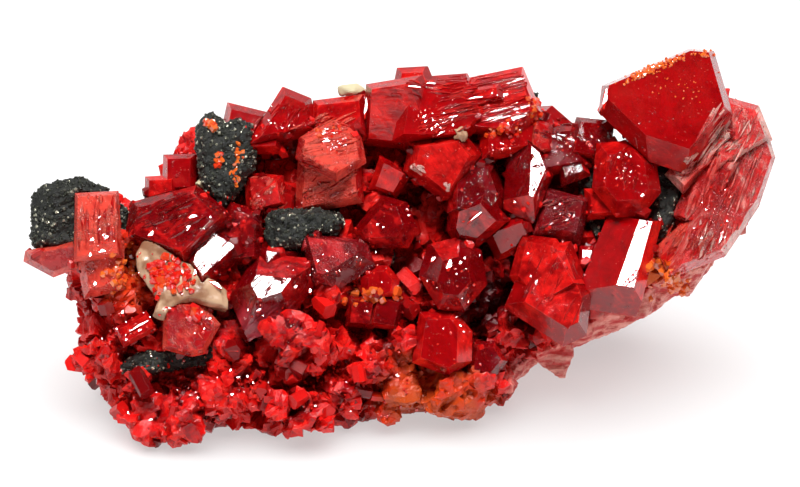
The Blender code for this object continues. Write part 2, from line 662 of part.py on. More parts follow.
    # The crystals on the left half of the face
    stone.grow(
        "left_mirror_crystal", "crimson",
        table((-13.2, 12.9, 1.2), (90, 66, 1.5), [
            (60, 1.45, 1.95), (-48, 0.63, 1.5), (-146, 1.23, 1.9), (165, 1.05, 2.0), (130, 1.64, 2.1)],
            drop=1.4, root=4.6),
        table((-16.0, 15.4, 0.0), (112, 60, 2.0), [
            (104, 1.4, 1.9), (48, 2.4, 3.0), (-48, 2.2, 2.8), (-110, 1.8, 2.4),
            (172, 2.4, 3.0)], drop=1.2, root=4.4),
    )
    stone.grow(
        "shaded_crystal", "crimson",
        table((-11.2, 14.6, -0.2), (100, 74, 1.7), [
            (75, 1.3, 1.8), (0, 1.0, 1.5), (-85, 1.8, 2.2), (150, 1.1, 1.6)], drop=1.0, root=4.2),
    )
    stone.grow(
        "broad_mirror_crystal", "crimson",
        table((-9.1, 10.8, 1.4), (92, 66, 1.9), [
            (84, 0.66, 2.2), (-37, 0.91, 2.5), (-72, 0.66, 3.1), (-155, 1.09, 2.9), (149, 1.18, 2.0)],
            drop=1.9, root=5.0),
        table((-9.0, 12.5, 0.8), (92, 66, 1.2), [
            (81, 0.68, 0.95), (-45, -0.13, 1.2), (188, 0.22, 1.5)], drop=1.1, root=4.0),
    )
    stone.grow(
        "orange_block", "scarlet",
        table((-21.1, 15.2, 1.6), (100, 76, 1.3), [
            (93, 1.9, 2.15), (3, 1.3, 1.55), (-85, 2.2, 2.5), (180, 1.4, 1.6)], drop=0.7, root=4.0),
        table((-20.9, 11.9, 1.0), (200, 74, 1.4), [
            (90, 1.6, 2.0), (0, 1.0, 1.6), (-75, 1.1, 1.7), (190, 1.0, 1.5)], drop=0.9, root=4.2),
    )
    stone.grow(
        "left_wing_crystal", "scarlet",
        table((-23.6, 12.6, 0.0), (240, 64, 1.2), [
            (100, 0.8, 1.1), (0, 2.0, 2.4), (-68, 0.5, 0.9), (-118, 1.0, 1.4),
            (168, 2.2, 2.7)], drop=0.9, root=2.6),
    )
    stone.grow(
        "frosted_block", "frosted",
        table((-14.7, 7.9, 2.2), (60, 74, 1.2), [
            (85, 1.5, 1.9), (40, 1.4, 1.8), (-30, 1.5, 1.8), (-78, 1.6, 2.0), (-105, 1.6, 1.9),
            (180, 1.5, 1.8)],
            drop=0.8, root=4.6),
    )
    stone.grow(
        "glossy_slab", "crimson",
        table((-18.5, 7.8, 1.4), (122, 60, 0.9), [
            (118, 0.5, 0.75), (30, 1.1, 1.3), (-62, 0.5, 0.75), (-150, 1.1, 1.3)], drop=0.5, root=4.0),
    )
    stone.grow(
        "stepped_crystals", "crimson",
        table((-15.6, 18.9, -2.2), (50, 72, 1.3), [
            (92, 0.8, 1.1), (0, 0.9, 1.3), (-88, 1.2, 1.6), (180, 0.7, 1.0)], drop=0.8, root=3.0),
        table((-16.8, 17.6, -1.8), (130, 60, 1.2), [
            (92, 0.6, 0.9), (0, 0.8, 1.2), (-88, 1.0, 1.5), (180, 0.8, 1.1)], drop=0.8, root=3.0),
    )

    # The crystals along the lower edge of the face
    stone.grow(
        "hexagonal_crystal", "crimson",
        table((3.1, 6.8, 0.9), (60, 80, 1.9), [
            (92, 1.7, 2.2), (40, 1.4, 2.0), (-2, 0.9, 1.9), (-58, 1.6, 2.1), (-110, 1.5, 2.0),
            (172, 1.5, 2.0)],
            drop=1.2, root=4.8),
    )
    stone.grow(
        "lower_red_pair", "scarlet",
        table((-2.7, 9.0, 0.6), (140, 70, 1.2), [
            (85, 0.7, 1.0), (-10, 0.7, 1.0), (-95, 0.8, 1.1), (175, 0.7, 1.0)], drop=0.8, root=4.0),
        table((-0.9, 9.0, 0.7), (50, 70, 1.2), [
            (70, 0.8, 1.2), (-15, 0.7, 1.0), (-100, 0.9, 1.2), (170, 0.8, 1.1)], drop=0.8, root=4.0),
    )
    stone.grow(
        "domed_crystal", "crimson",
        table((-1.4, 11.0, 0.7), (50, 76, 1.4), [
            (90, 0.8, 1.2), (40, 0.8, 1.2), (-10, 0.8, 1.3), (-70, 0.8, 1.2), (-120, 0.8, 1.2),
            (180, 0.8, 1.3),
            (135, 0.8, 1.2)], drop=0.8, root=4.0),
    )
    stone.grow(
        "smoky_crystal", "crimson",
        table((6.1, 5.7, -0.6), (60, 74, 1.4), [
            (95, 0.8, 1.2), (30, 0.8, 1.1), (-40, 0.8, 1.2), (-100, 0.9, 1.3),
            (170, 0.8, 1.1)], drop=0.8, root=3.8),
    )

    # Crystals on the side that faces away
    backs = random.Random(SEED)
    from_behind = face_frame().inverted().to_3x3() @ Vector((0, -1, 0))
    for number in range(BACK_CRYSTALS):
        share = number / (BACK_CRYSTALS - 1)
        behind = Vector((-16.0 + 30.0 * share, BLANK, 6.0 + 4.0 * share + 3.4 * (number % 2)))
        start = face_frame().inverted() @ behind
        spot, normal, _, _ = surface.ray_cast(start, from_behind)
        side = backs.uniform(3.2, 4.8)
        size = (side, side * 0.9, side * 1.4)
        axis = normal + Vector((backs.gauss(0, 0.3), backs.gauss(0, 0.3), 0))
        habit = (STOUT, WEDGE)[number % 2]
        stone.grow(
            f"back_crystal_{number + 1}", ("crimson", "scarlet")[number % 2],
            prism(spot, axis.normalized(), backs.uniform(0, 180), size, habit),
        )

    # Calcite
    stone.chunk("tan_calcite_star", "calcite", (-15.2, 11.6, 2.5), [
        (-1.9, 3.5), (-3.3, 1.4), (-3.1, 0.2), (-2.4, -0.8), (-1.7, -1.9), (-2.1, -3.0), (-1.3, -3.3),
        (-0.9, -2.7),
        (0.5, -1.9), (2.0, -2.3), (3.3, -2.6), (3.1, -1.1), (1.5, 0.1), (0.6, 0.6), (-0.7, 1.4), (-1.2, 2.2)],
        ahead=0.6, drop=0.5, root=2.7, front=0.86, facing_to=(80, 80))
    stone.lump("cream_calcite_knob", "calcite", (-3.4, 24.4, -2.6), (1.25, 0.65, 1.0), fine=1)
    stone.lump("pale_calcite_fleck", "calcite", (4.2, 21.3, 2.2), (0.6, 0.8, 1.2), fine=1)
    stone.lump("pale_calcite_edge", "calcite", (-14.0, 17.2, -0.4), (0.6, 1.3, 1.0), turn=-8, fine=1)

    # Black sulphide, in lumps between the crystals
    stone.chunk("black_knob", "sulphide", (-22.75, 15.6, -0.4), [
        (-3.1, 0.1), (-2.95, -2.3), (-1.05, -3.0), (2.3, -2.7), (3.8, -1.5), (4.0, 0.1), (3.0, 1.2),
        (2.05, 2.2),
        (0.35, 2.85), (-1.6, 2.45), (-2.6, 2.05), (-2.95, 1.35)], ahead=1.2, drop=1.0, root=2.6)
    stone.chunk("black_pillar", "sulphide", (-12.3, 19.4, -0.6), [
        (-1.95, 0.9), (-1.8, -0.65), (-1.7, -1.9), (-1.0, -3.15), (-0.15, -3.55), (1.1, -2.05), (1.95, -0.65),
        (2.3, 1.25), (1.95, 2.7), (1.1, 3.15), (0.15, 2.85), (-0.85, 3.55), (-1.55, 3.3), (-2.05, 2.15)],
        ahead=1.4, drop=1.0, root=2.6)
    stone.chunk("black_bar", "sulphide", (-6.65, 14.75, 0.6), [
        (-2.8, -0.65), (-2.1, -1.35), (-0.7, -1.45), (0.9, -0.65), (2.3, -0.5), (2.8, 0.5), (2.6, 1.05),
        (1.75, 1.35), (-0.35, 1.35), (-2.1, 1.4), (-2.75, 0.9)], ahead=1.0, drop=0.6, root=3.4)
    stone.chunk("black_seam", "sulphide", (-15.7, 5.8, 0.8), [
        (-4.0, -0.65), (-3.8, -1.2), (-2.5, -1.35), (-0.75, -0.9), (1.0, -0.65), (2.75, -0.2), (4.0, 0.5),
        (3.2, 1.0), (1.7, 0.65), (-0.05, 0.35), (-1.8, 0.5), (-3.35, -0.05)], ahead=0.7, drop=0.3, root=3.0)
    stone.chunk("black_core", "sulphide", (-1.2, 12.75, -1.4), [
        (-1.05, -0.3), (-0.35, -0.7), (0.8, -0.55), (1.05, 0.2), (0.35, 0.75), (-0.75, 0.55)],
        ahead=1.2, drop=0.4, root=1.6)
    stone.chunk("black_pocket", "sulphide", (13.9, 16.1, -1.4), [
        (-1.25, 0.7), (-0.85, -1.05), (-0.15, -2.4), (1.1, -2.1), (1.4, -0.35), (0.4, 1.4), (-0.3, 2.65),
        (-1.25, 2.25)], ahead=1.0, drop=0.6, root=2.2)
    stone.chunk("black_wall", "sulphide", (18.4, 16.5, -1.4), [
        (-0.9, 0.3), (-1.05, -2.15), (-0.55, -3.1), (0.35, -2.5), (1.05, -0.75), (1.35, 1.0), (1.2, 2.4),
        (0.15, 3.1), (-0.75, 2.75)], ahead=1.0, drop=0.6, root=2.4)
    stone.chunk("black_crown_spot", "sulphide", (8.95, 24.0, -1.8), [
        (-0.7, 0.0), (-0.4, -0.6), (0.6, -0.6), (0.8, 0.1), (0.4, 0.55),
        (-0.3, 0.5)], ahead=0.7, drop=0.3, root=1.0)

    # The ore that everything sits in
    add_crumbs(ore, surface, stone)
    cut_flat_underneath(ore)
    stone.make_room(ore)
    merge_flat_faces(ore)


build()
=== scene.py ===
"""The looks of a realgar specimen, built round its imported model.

Everything is in metres and in the model's own frame. The file follows the object as it is put together: the
ore, the crystals on it, the black lumps, the calcite, then the table, the light and the camera.
"""

import math

import bmesh
import bpy
import numpy as np
from mathutils import Matrix, Vector, noise
from mathutils.bvhtree import BVHTree
from mathutils.kdtree import KDTree


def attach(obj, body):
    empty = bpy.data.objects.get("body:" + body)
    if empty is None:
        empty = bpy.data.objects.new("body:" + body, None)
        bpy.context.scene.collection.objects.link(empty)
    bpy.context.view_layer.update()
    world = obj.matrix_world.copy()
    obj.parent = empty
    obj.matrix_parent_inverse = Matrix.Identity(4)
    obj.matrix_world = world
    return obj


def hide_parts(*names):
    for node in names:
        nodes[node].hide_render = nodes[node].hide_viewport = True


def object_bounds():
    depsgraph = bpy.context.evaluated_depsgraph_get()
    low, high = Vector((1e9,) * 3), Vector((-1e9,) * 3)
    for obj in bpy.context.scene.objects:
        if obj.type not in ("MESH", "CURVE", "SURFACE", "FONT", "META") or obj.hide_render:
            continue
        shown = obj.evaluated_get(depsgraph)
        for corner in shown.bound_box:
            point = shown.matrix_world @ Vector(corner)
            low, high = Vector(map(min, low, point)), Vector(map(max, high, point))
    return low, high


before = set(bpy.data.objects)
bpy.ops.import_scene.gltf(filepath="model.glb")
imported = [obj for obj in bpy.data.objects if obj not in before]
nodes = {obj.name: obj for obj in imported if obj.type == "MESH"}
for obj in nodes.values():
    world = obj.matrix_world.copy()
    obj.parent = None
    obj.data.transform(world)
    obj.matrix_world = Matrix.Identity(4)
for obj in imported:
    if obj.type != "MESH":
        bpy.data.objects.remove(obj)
cad_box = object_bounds()
MM = 0.001

# Blender's vector noise starts from the clock unless it is given a seed
NOISE_SEED = 7
noise.seed_set(NOISE_SEED)


# The ore
# Massive, granular realgar: small crystals grown together without gaps, red where fresh and orange or ochre
# where it has weathered. It is one lump that carries everything else, and it is cut flat underneath.

# Each bump is its size and its depth. Each row of flat faces is their size, their tilt and their steps.
ORE_CELL = 0.25 * MM
ORE_BUMPS = ((0.8 * MM, 0.10 * MM), (0.35 * MM, 0.07 * MM))
ORE_FACETS = ((1.8 * MM, 1.1, 0.7 * MM), (0.75 * MM, 1.3, 0.32 * MM))
DEEPEST, HIGHEST = -0.45, 0.35
FACE_LEAN = math.radians(30.0)
FACE_FOOT = Vector((0.0, -11.8 * MM, 0.0))
ACROSS = Vector((1, 0, 0))
UP = Vector((0, math.sin(FACE_LEAN), math.cos(FACE_LEAN)))
OUT = Vector((0, -math.cos(FACE_LEAN), math.sin(FACE_LEAN)))


def on_face(across, up, out=0.0):
    """A place on the crystal-covered face, from millimetres across, up and out of it."""
    return FACE_FOOT + (ACROSS * across + UP * up + OUT * out) * MM


class Value:
    """A socket in a material. Arithmetic on it adds Math nodes."""

    def __init__(self, finish, socket):
        self.finish, self.socket = finish, socket

    def __add__(self, other):
        return self.finish.maths("ADD", self, other)

    def __sub__(self, other):
        return self.finish.maths("SUBTRACT", self, other)

    def __mul__(self, other):
        return self.finish.maths("MULTIPLY", self, other)

    def __truediv__(self, other):
        return self.finish.maths("DIVIDE", self, other)

    def __rsub__(self, other):
        return self.finish.maths("SUBTRACT", other, self)

    __radd__ = __add__
    __rmul__ = __mul__


class Finish:
    """A material, or the room's light, that is put together from nodes."""

    def __init__(self, owner, place="Object"):
        self.owner = owner
        self.owner.use_nodes = True
        self.tree = self.owner.node_tree
        self.tree.nodes.clear()
        self.place = self.node("ShaderNodeTexCoord", output=place)

    def node(self, kind, settings=None, sockets=None, output=0):
        """Any node: its type, its settings, and the values or links of its sockets."""
        made = self.tree.nodes.new(kind)
        for name, value in (settings or {}).items():
            setattr(made, name, value)
        for name, value in (sockets or {}).items():
            if isinstance(value, Value):
                self.tree.links.new(value.socket, made.inputs[name])
            elif isinstance(value, tuple) and made.inputs[name].type == "RGBA":
                made.inputs[name].default_value = (*value, 1.0)
            else:
                made.inputs[name].default_value = value
        return Value(self, made.outputs[output]) if made.outputs else made

    def maths(self, operation, *terms):
        return self.node("ShaderNodeMath", {"operation": operation}, dict(enumerate(terms)))

    def step(self, value, low, high):
        """0 below low, 1 above high, and smooth between."""
        sockets = {"Value": value, "From Min": low, "From Max": high}
        return self.node("ShaderNodeMapRange", {"interpolation_type": "SMOOTHSTEP"}, sockets)

    def mix(self, share, one, other):
        """A colour between two, by share."""
        return self.node("ShaderNodeMix", {"data_type": "RGBA"}, {0: share, 6: one, 7: other}, output=2)

    def cloud(self, size, detail=2.0, rough=0.5, place=None, distortion=0.0):
        """Soft noise whose lumps are about size across."""
        sockets = {"Vector": place or self.place, "Scale": 1.0 / size, "Detail": detail, "Roughness": rough,
                   "Distortion": distortion}
        return self.node("ShaderNodeTexNoise", None, sockets)

    def cells(self, size, output="Distance"):
        """The distance from the middle of cells of about size, or a colour for each cell."""
        sockets = {"Vector": self.place, "Scale": 1.0 / size}
        return self.node("ShaderNodeTexVoronoi", None, sockets, output)

    def grain(self, size):
        """A number from 0 to 1 for each cell of about size."""
        return self.node("ShaderNodeSeparateColor", None, {0: self.cells(size, "Color")})

    def tone(self):
        """The number that each small crystal was given."""
        return self.node("ShaderNodeAttribute", {"attribute_name": "tone"}, output="Fac")

    def moved(self, vector, operation="ADD", place=None, output=0):
        """The surface's own place, or the one given, after one step of vector maths."""
        sockets = {0: place or self.place, 1: vector}
        return self.node("ShaderNodeVectorMath", {"operation": operation}, sockets, output)

    def near(self, spot, radius, ragged=0.35):
        """1 close to a spot on the object and 0 beyond the radius, with a ragged edge."""
        away = self.moved(tuple(spot), "DISTANCE", output="Value")
        ragged_away = away / radius + (self.cloud(radius * 0.45, 3.0) - 0.5) * ragged * 2.0
        return 1.0 - self.step(ragged_away, 0.55, 1.05)

    def beyond(self, spot, way, soft=0.6 * MM):
        """1 on the far side of a plane through the spot, and 0 on the near side, with a ragged edge."""
        ahead = self.moved(tuple(way), "DOT_PRODUCT", self.moved(tuple(-c for c in spot)), "Value")
        return self.step(ahead / soft + (self.cloud(1.2 * MM, 3.0) - 0.5) * 3.0, -1.0, 1.0)

    def fibres(self, size, stretch=0.1):
        """Fine lines that run one way through each object, and another way through the next."""
        own = self.node("ShaderNodeObjectInfo", output="Random")
        turned = self.node("ShaderNodeVectorRotate", {"rotation_type": "AXIS_ANGLE"},
                           {"Vector": self.place, "Axis": (0.45, 0.8, 0.4), "Angle": own * 6.283})
        return self.cloud(size, 4.0, 0.6, place=self.moved((1.0, 1.0, stretch), "MULTIPLY", turned))

    def strokes(self, along, size, stretch=0.05):
        """Fine lines that all run along one direction."""
        side = along.orthogonal().normalized()
        ways = (along * stretch, side, along.cross(side))
        parts = [self.moved(tuple(way), "DOT_PRODUCT", output="Value") for way in ways]
        place = self.node("ShaderNodeCombineXYZ", None, dict(enumerate(parts)))
        return self.cloud(size, place=place)

    def edge_wear_and_highlight(self, radius):
        """1 on the sharp edges of a piece and 0 on its faces, and the normal rounded there."""
        rounded = self.node("ShaderNodeBevel", {"samples": 2}, {"Radius": radius})
        flat = self.node("ShaderNodeNewGeometry", output="True Normal")
        same = self.moved(flat, "DOT_PRODUCT", rounded, "Value")
        return 1.0 - self.step(same, 0.75, 0.985), rounded

    def crevice_shade(self, reach):
        """1 deep in a crevice and 0 in the open, for painting shade there."""
        sockets = {"Distance": reach}
        return 1.0 - self.node("ShaderNodeAmbientOcclusion", {"samples": 2}, sockets, "AO")

    def bump(self, height, distance, strength=1.0, normal=None):
        sockets = {"Height": height, "Distance": distance, "Strength": strength}
        if normal:
            sockets["Normal"] = normal
        return self.node("ShaderNodeBump", None, sockets)

    def surface(self, **sockets):
        named = {name.replace("_", " "): value for name, value in sockets.items()}
        return self.node("ShaderNodeBsdfPrincipled", None, named)

    def blend(self, share, one, other):
        """One shader, or the other by share."""
        return self.node("ShaderNodeMixShader", None, {0: share, 1: one, 2: other})

    def done(self, shader, volume=None, kind="Material"):
        output = self.tree.nodes.new("ShaderNodeOutput" + kind)
        self.tree.links.new(shader.socket, output.inputs["Surface"])
        if volume:
            self.tree.links.new(volume.socket, output.inputs["Volume"])
        return self.owner


def dress(thing, material):
    thing.data.materials.clear()
    thing.data.materials.append(material)


def fine_copy(node, name, cell):
    """A copy of a CAD node with small even faces, ready to be roughened."""
    bpy.context.view_layer.update()
    copy = bpy.data.objects.new(name, nodes[node].data.copy())
    bpy.context.scene.collection.objects.link(copy)
    remesh = copy.modifiers.new("even", "REMESH")
    remesh.mode = "VOXEL"
    remesh.voxel_size = cell
    bpy.context.view_layer.update()
    mesh = bpy.data.meshes.new_from_object(copy.evaluated_get(bpy.context.evaluated_depsgraph_get()))
    copy.modifiers.clear()
    copy.data = mesh
    return copy


def kept_in_box(place):
    """The place, moved back inside the CAD model's box."""
    return Vector(min(max(c, low), high) for c, low, high in zip(place, *cad_box))


def roughen(thing, bumps):
    """Moves every point along its normal, by soft noise at several sizes."""
    normals = [Vector(v.normal) for v in thing.data.vertices]
    for vertex, normal in zip(thing.data.vertices, normals):
        swell = sum(depth * noise.noise(vertex.co / size) for size, depth in bumps)
        vertex.co = kept_in_box(vertex.co + normal * swell)


def facet(thing, size, tilt, step, share):
    """Turns a surface into flat faces of about size, each tilted and raised its own way, but no deeper or
    higher than a share of their size. Share is how much of that a place gets, from 0 to 1."""
    mesh = thing.data
    surface = KDTree(len(mesh.vertices))
    for vertex in mesh.vertices:
        surface.insert(vertex.co, vertex.index)
    surface.balance()
    normals = [Vector(v.normal) for v in mesh.vertices]
    faces, moved = {}, []
    for vertex, normal in zip(mesh.vertices, normals):
        seed = noise.voronoi(vertex.co / size)[1][0]
        key = tuple(round(c, 3) for c in seed)
        if key not in faces:
            spot, index, _ = surface.find(seed * size)
            way = (normals[index] + Vector(noise.noise_vector(seed * 5.7)) * tilt).normalized()
            faces[key] = way, spot + normals[index] * noise.noise(seed * 7.3) * step
        way, spot = faces[key]
        rise = (spot - vertex.co).dot(way) / max(normal.dot(way), 0.5)
        rise = max(DEEPEST * size, min(HIGHEST * size, rise))
        moved.append(kept_in_box(vertex.co + normal * rise * share(vertex.co)))
    for vertex, place in zip(mesh.vertices, moved):
        vertex.co = place


# Where the smooth broken side starts and which way it lies, and then coloured patches, each with its radius.
# The hollow's patch is painted shade.
BROKEN_FROM = on_face(11.2, 6.9)
BROKEN_WAY = (ACROSS * 0.525 - UP * 0.851).normalized()
BROKEN_FOOT = on_face(7.8, 2.0)
BROKEN_SHARE, OCHRE_SHARE, COVERED_SHARE = 0.2, 0.55, 0.1
PURPLE_FACE = (on_face(-9.4, 8.2, 1.5), 2.6 * MM)
OCHRE = (on_face(2.4, 3.0, -1.0), 5.0 * MM)
ORANGE = (on_face(18.6, 11.4, 0.0), 2.2 * MM)
RUSTY = (on_face(-18.8, 11.6, 0.0), 3.4 * MM)
PAINTED_HOLLOW_SHADE = (on_face(6.4, 10.2, -2.5), 4.4 * MM)
EMBER = (on_face(20.2, 13.9, 0.5), 2.0 * MM)
PURPLE = (on_face(20.8, 12.4, 0.0), 1.7 * MM)


def is_broken(place, margin=0.0):
    """True on the smooth broken side at the lower right."""
    return (place - BROKEN_FROM).dot(BROKEN_WAY) > margin and (place - BROKEN_FOOT).dot(ACROSS) > margin


def crystalline(place):
    """How much of the ore's facets a place has: none where it is cut, and few where it is broken."""
    ochre = (place - OCHRE[0]).length < 4.6 * MM
    share = BROKEN_SHARE if is_broken(place) else OCHRE_SHARE if ochre else 1.0
    share = min(share, COVERED_SHARE + (place - PURPLE_FACE[0]).length / (4.0 * MM))
    return min(1.0, max(0.0, place.z / MM - 0.1)) * share


ore = fine_copy("ore", "massive_ore", ORE_CELL)
for size, tilt, step in ORE_FACETS:
    facet(ore, size, tilt, step, crystalline)
roughen(ore, ORE_BUMPS)


def ore_colour(f, body):
    """Adds what the ore and the small crystals on it share: ochre and orange parts, and painted shade in the
    hollow and in crevices.
    """
    body = f.mix(f.near(*OCHRE) * 0.85, body, (0.60, 0.082, 0.010))
    body = f.mix(f.near(*ORANGE) * 0.8, body, (0.85, 0.18, 0.01))
    body = f.mix(f.near(*RUSTY) * 0.5, body, (0.90, 0.10, 0.012))
    # Painted shade: the hollow is painted near black
    body = f.mix(f.near(*PAINTED_HOLLOW_SHADE) * 0.9, body, (0.055, 0.001, 0.002))
    # Painted shade: crevices are painted dark by how closed in they are
    return f.mix(f.step(f.crevice_shade(1.1 * MM), 0.34, 0.92) * 0.7, body, (0.09, 0.001, 0.002))


def ore_finish():
    f = Finish(bpy.data.materials.new("massive realgar"))
    patches = f.cloud(2.2 * MM, 4.0, 0.6)
    grain = f.grain(0.45 * MM)
    deep = f.mix(f.step(patches, 0.34, 0.60), (0.30, 0.001, 0.003), (0.88, 0.007, 0.006))
    body = f.mix(f.step(grain, 0.45, 0.95) * 0.6, deep, (1.0, 0.032, 0.020))
    edges, _ = f.edge_wear_and_highlight(0.1 * MM)
    # Pale edges: partly wear, partly a painted edge highlight
    body = f.mix(edges * 0.2, body, (1.0, 0.07, 0.04))
    broken = f.beyond(BROKEN_FROM, BROKEN_WAY) * f.beyond(BROKEN_FOOT, ACROSS)
    along = f.cloud(0.5 * MM, 4.0, 0.65, place=f.moved((0.16, 1.0, 1.0), "MULTIPLY"))
    rind = f.mix(f.step(along, 0.38, 0.62), (0.58, 0.03, 0.028), (0.90, 0.36, 0.29))
    body = f.mix(broken, ore_colour(f, body), rind)
    body = f.mix(f.near(*EMBER) * 0.9, body, (0.90, 0.05, 0.015))
    smoky = f.mix(f.step(along, 0.4, 0.6), (0.10, 0.02, 0.035), (0.34, 0.15, 0.18))
    body = f.mix(f.near(*PURPLE) * 0.85, body, smoky)
    relief = f.cloud(0.14 * MM, 4.0, 0.7) + along * 0.8 + f.cells(0.4 * MM) * 0.7
    normal = f.bump(relief, 0.07 * MM, 0.7)
    roughness = 0.04 + f.cloud(0.5 * MM, 2.0) * 0.16 + broken * 0.25
    return f.done(f.surface(Base_Color=body, Roughness=roughness, IOR=1.42, Normal=normal))


dress(ore, ore_finish())
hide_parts("ore")
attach(ore, "root")


# The crystals
# Realgar prisms that grew out of the ore, from a millimetre to nine millimetres long. They are glossy and let
# red light through, so a crystal is darkest in its thick parts and bright red where it is thin or cloudy.

DEEP = ("big_top_crystal", "long_mirror_prism", "seed_mirror_crystal", "right_middle_crystal",
        "small_wedge_crystal", "smoky_facet_crystal", "crown_crystals", "back_left_crystals", "wedge_crystal",
        "glossy_slab", "stepped_crystals", "hexagonal_crystal", "domed_crystal", "back_crystal_1",
        "back_crystal_5")
DARK = ("back_right_crystals", "arrow_mirror_crystal", "middle_crystals",
        "spangled_crystal", "left_mirror_crystal", "shaded_crystal", "broad_mirror_crystal", "heart_crystal",
        "lower_red_pair", "smoky_crystal", "back_crystal_3", "back_crystal_7")
BRIGHT = ("front_right_crystal", "scarlet_crystal", "cavity_crystals", "back_crystal_2", "back_crystal_4",
          "back_crystal_6")
ORANGE_RED = ("ember_ridge", "orange_finger", "striated_block", "orange_block", "left_wing_crystal",
              "frosted_block")
FROSTED = ("frosted_square_crystal", "frosted_crystal")
PINK = ("right_columns",)

# The soft box is this far above the line of sight, and the white facets lie as mirrors between the two. Fine
# strokes cross them at three places.
KEY_TILT = math.radians(48.0)
MIRROR = (UP * math.sin(KEY_TILT / 2) + OUT * math.cos(KEY_TILT / 2)).normalized()
STROKE = ACROSS * 0.64 + UP * 0.77
STROKE = (STROKE - MIRROR * STROKE.dot(MIRROR)).normalized()
FEATHERED = ((on_face(-12.9, 13.2, 2.6), 2.2 * MM), (on_face(-8.9, 10.8, 3.0), 2.4 * MM),
             (on_face(16.6, 11.4, 4.4), 1.5 * MM))
INNER_COLUMN = (on_face(21.7, 17.6, 1.0), 2.6 * MM)
DUST_SIZE = 0.26 * MM


def realgar_finish(name, deep, glow, glowing, cloudy, gloss, etched, pale):
    """Realgar crystal: deep and glow are its darkest and brightest red, glowing the share of bright parts,
    cloudy the share that light doesn't pass, etched the share of its surface that is rough and glitters, and
    pale how light its edges and fine dust are. The pale edges are partly wear and partly a painted highlight."""
    f = Finish(bpy.data.materials.new(name))
    facing = f.node("ShaderNodeNewGeometry", output="True Normal")
    facing = f.moved((3.1, 3.1, 3.1), "MULTIPLY", facing)
    facing = f.moved((0.13, 0.37, 0.41), "ADD", facing)
    facing = f.moved((0, 0, 0), "FLOOR", facing)
    tone = f.node("ShaderNodeTexWhiteNoise", None, {"Vector": facing})
    fibres = f.fibres(0.5 * MM)
    lines = f.fibres(0.2 * MM, 0.05)
    patches = f.cloud(1.5 * MM, 5.0, 0.65, distortion=0.8)
    light = f.step(patches * 0.8 + fibres * 0.3 + tone * 0.34, 0.90 - glowing, 1.16 - glowing)
    body = f.mix(light, deep, glow)
    edges, rounded = f.edge_wear_and_highlight(0.04 * MM)
    dust = (1.0 - f.step(f.cells(DUST_SIZE), 0.08, 0.16)) * f.step(f.grain(DUST_SIZE), 0.45, 1.0)
    scratches = f.step(lines, 0.66, 0.72)
    edges = edges * (0.25 + f.step(patches, 0.4, 0.6) * 0.75)
    # Pale edges, dust and scratches: the edges are partly wear and partly a painted highlight
    body = f.mix((edges * 0.4 + dust * 0.8 + scratches * 0.45) * pale, body, (1.0, 0.30, 0.22))
    body = f.mix((1.0 - f.step(lines, 0.30, 0.42)) * f.step(patches, 0.3, 0.6) * 0.6, body, deep)
    column = f.mix(light, (0.42, 0.003, 0.003), (0.95, 0.03, 0.022))
    body = f.mix(f.near(*INNER_COLUMN) * 0.85, body, column)
    body = f.mix(f.near(*PURPLE_FACE) * 0.7, body, (0.85, 0.12, 0.17))
    rough_parts = f.step(f.cloud(0.9 * MM, 4.0, 0.7) + fibres * 0.25, 0.84 - etched, 0.92 - etched)
    waves = f.cloud(1.1 * MM, 2.0) * 0.5
    pits = f.step(f.cells(0.6 * MM), 0.03, 0.10) * 0.5
    steps = f.maths("FLOOR", patches * 9.0) * 0.25
    normal = f.bump(waves + lines * 0.45 + pits + steps, 0.05 * MM, 0.4, rounded)
    feathered = f.near(*FEATHERED[0]) + f.near(*FEATHERED[1]) + f.near(*FEATHERED[2])
    strokes = f.step(f.strokes(STROKE, 0.22 * MM), 0.53, 0.62)
    normal = f.bump(strokes * feathered, 0.05 * MM, 1.0, normal)
    normal = f.bump(f.cells(0.13 * MM) * rough_parts, 0.12 * MM, 1.0, normal)
    roughness = gloss + tone * 0.06 + dust * 0.3 + rough_parts * 0.08
    solid = f.surface(Base_Color=body, Roughness=roughness, IOR=1.5, Normal=normal, Subsurface_Weight=0.4,
                      Subsurface_Radius=(1.0, 0.06, 0.04), Subsurface_Scale=0.9 * MM)
    glass = f.surface(Base_Color=(1.0, 0.4, 0.3), Roughness=gloss, IOR=1.9, Transmission_Weight=1.0,
                      Normal=normal)
    veil = cloudy + (f.cloud(1.3 * MM, 4.0, 0.6, distortion=1.0) - 0.5) * 1.2 + dust * 0.5 + edges * 0.4
    dye = f.node("ShaderNodeVolumeAbsorption", None, {"Color": (0.95, 0.03, 0.02), "Density": 380.0})
    return f.done(f.blend(veil, glass, solid), dye)


# Each row is the crystals of one finish and then what the finish takes, in its own order
FINISHES = (
    (DEEP, "deep realgar", (0.46, 0.002, 0.004), (1.0, 0.014, 0.010), 0.20, 0.72, 0.04, 0.06, 0.5),
    (DARK, "dark realgar", (0.24, 0.001, 0.003), (0.90, 0.014, 0.013), 0.18, 0.66, 0.04, 0.10, 0.6),
    (BRIGHT, "bright realgar", (0.36, 0.002, 0.003), (0.90, 0.014, 0.011), 0.25, 0.8, 0.05, 0.10, 0.7),
    (ORANGE_RED, "orange realgar", (0.50, 0.004, 0.005), (0.92, 0.085, 0.055), 0.34, 0.85, 0.08, 0.22, 0.9),
    (FROSTED, "frosted realgar", (0.22, 0.002, 0.005), (0.66, 0.030, 0.036), 0.24, 0.9, 0.14, 0.24, 0.8),
    (PINK, "pink realgar", (0.74, 0.035, 0.035), (1.0, 0.42, 0.36), 0.34, 0.9, 0.10, 0.26, 1.0),
)
realgar = {}
for names, *recipe in FINISHES:
    realgar[recipe[0]] = realgar_finish(*recipe)
    for name in names:
        dress(nodes[name], realgar[recipe[0]])


# The small crystals
# Between the large crystals the ore is covered with small ones, from a third of a millimetre up. They grew
# with it, and neighbours lie nearly the same way.

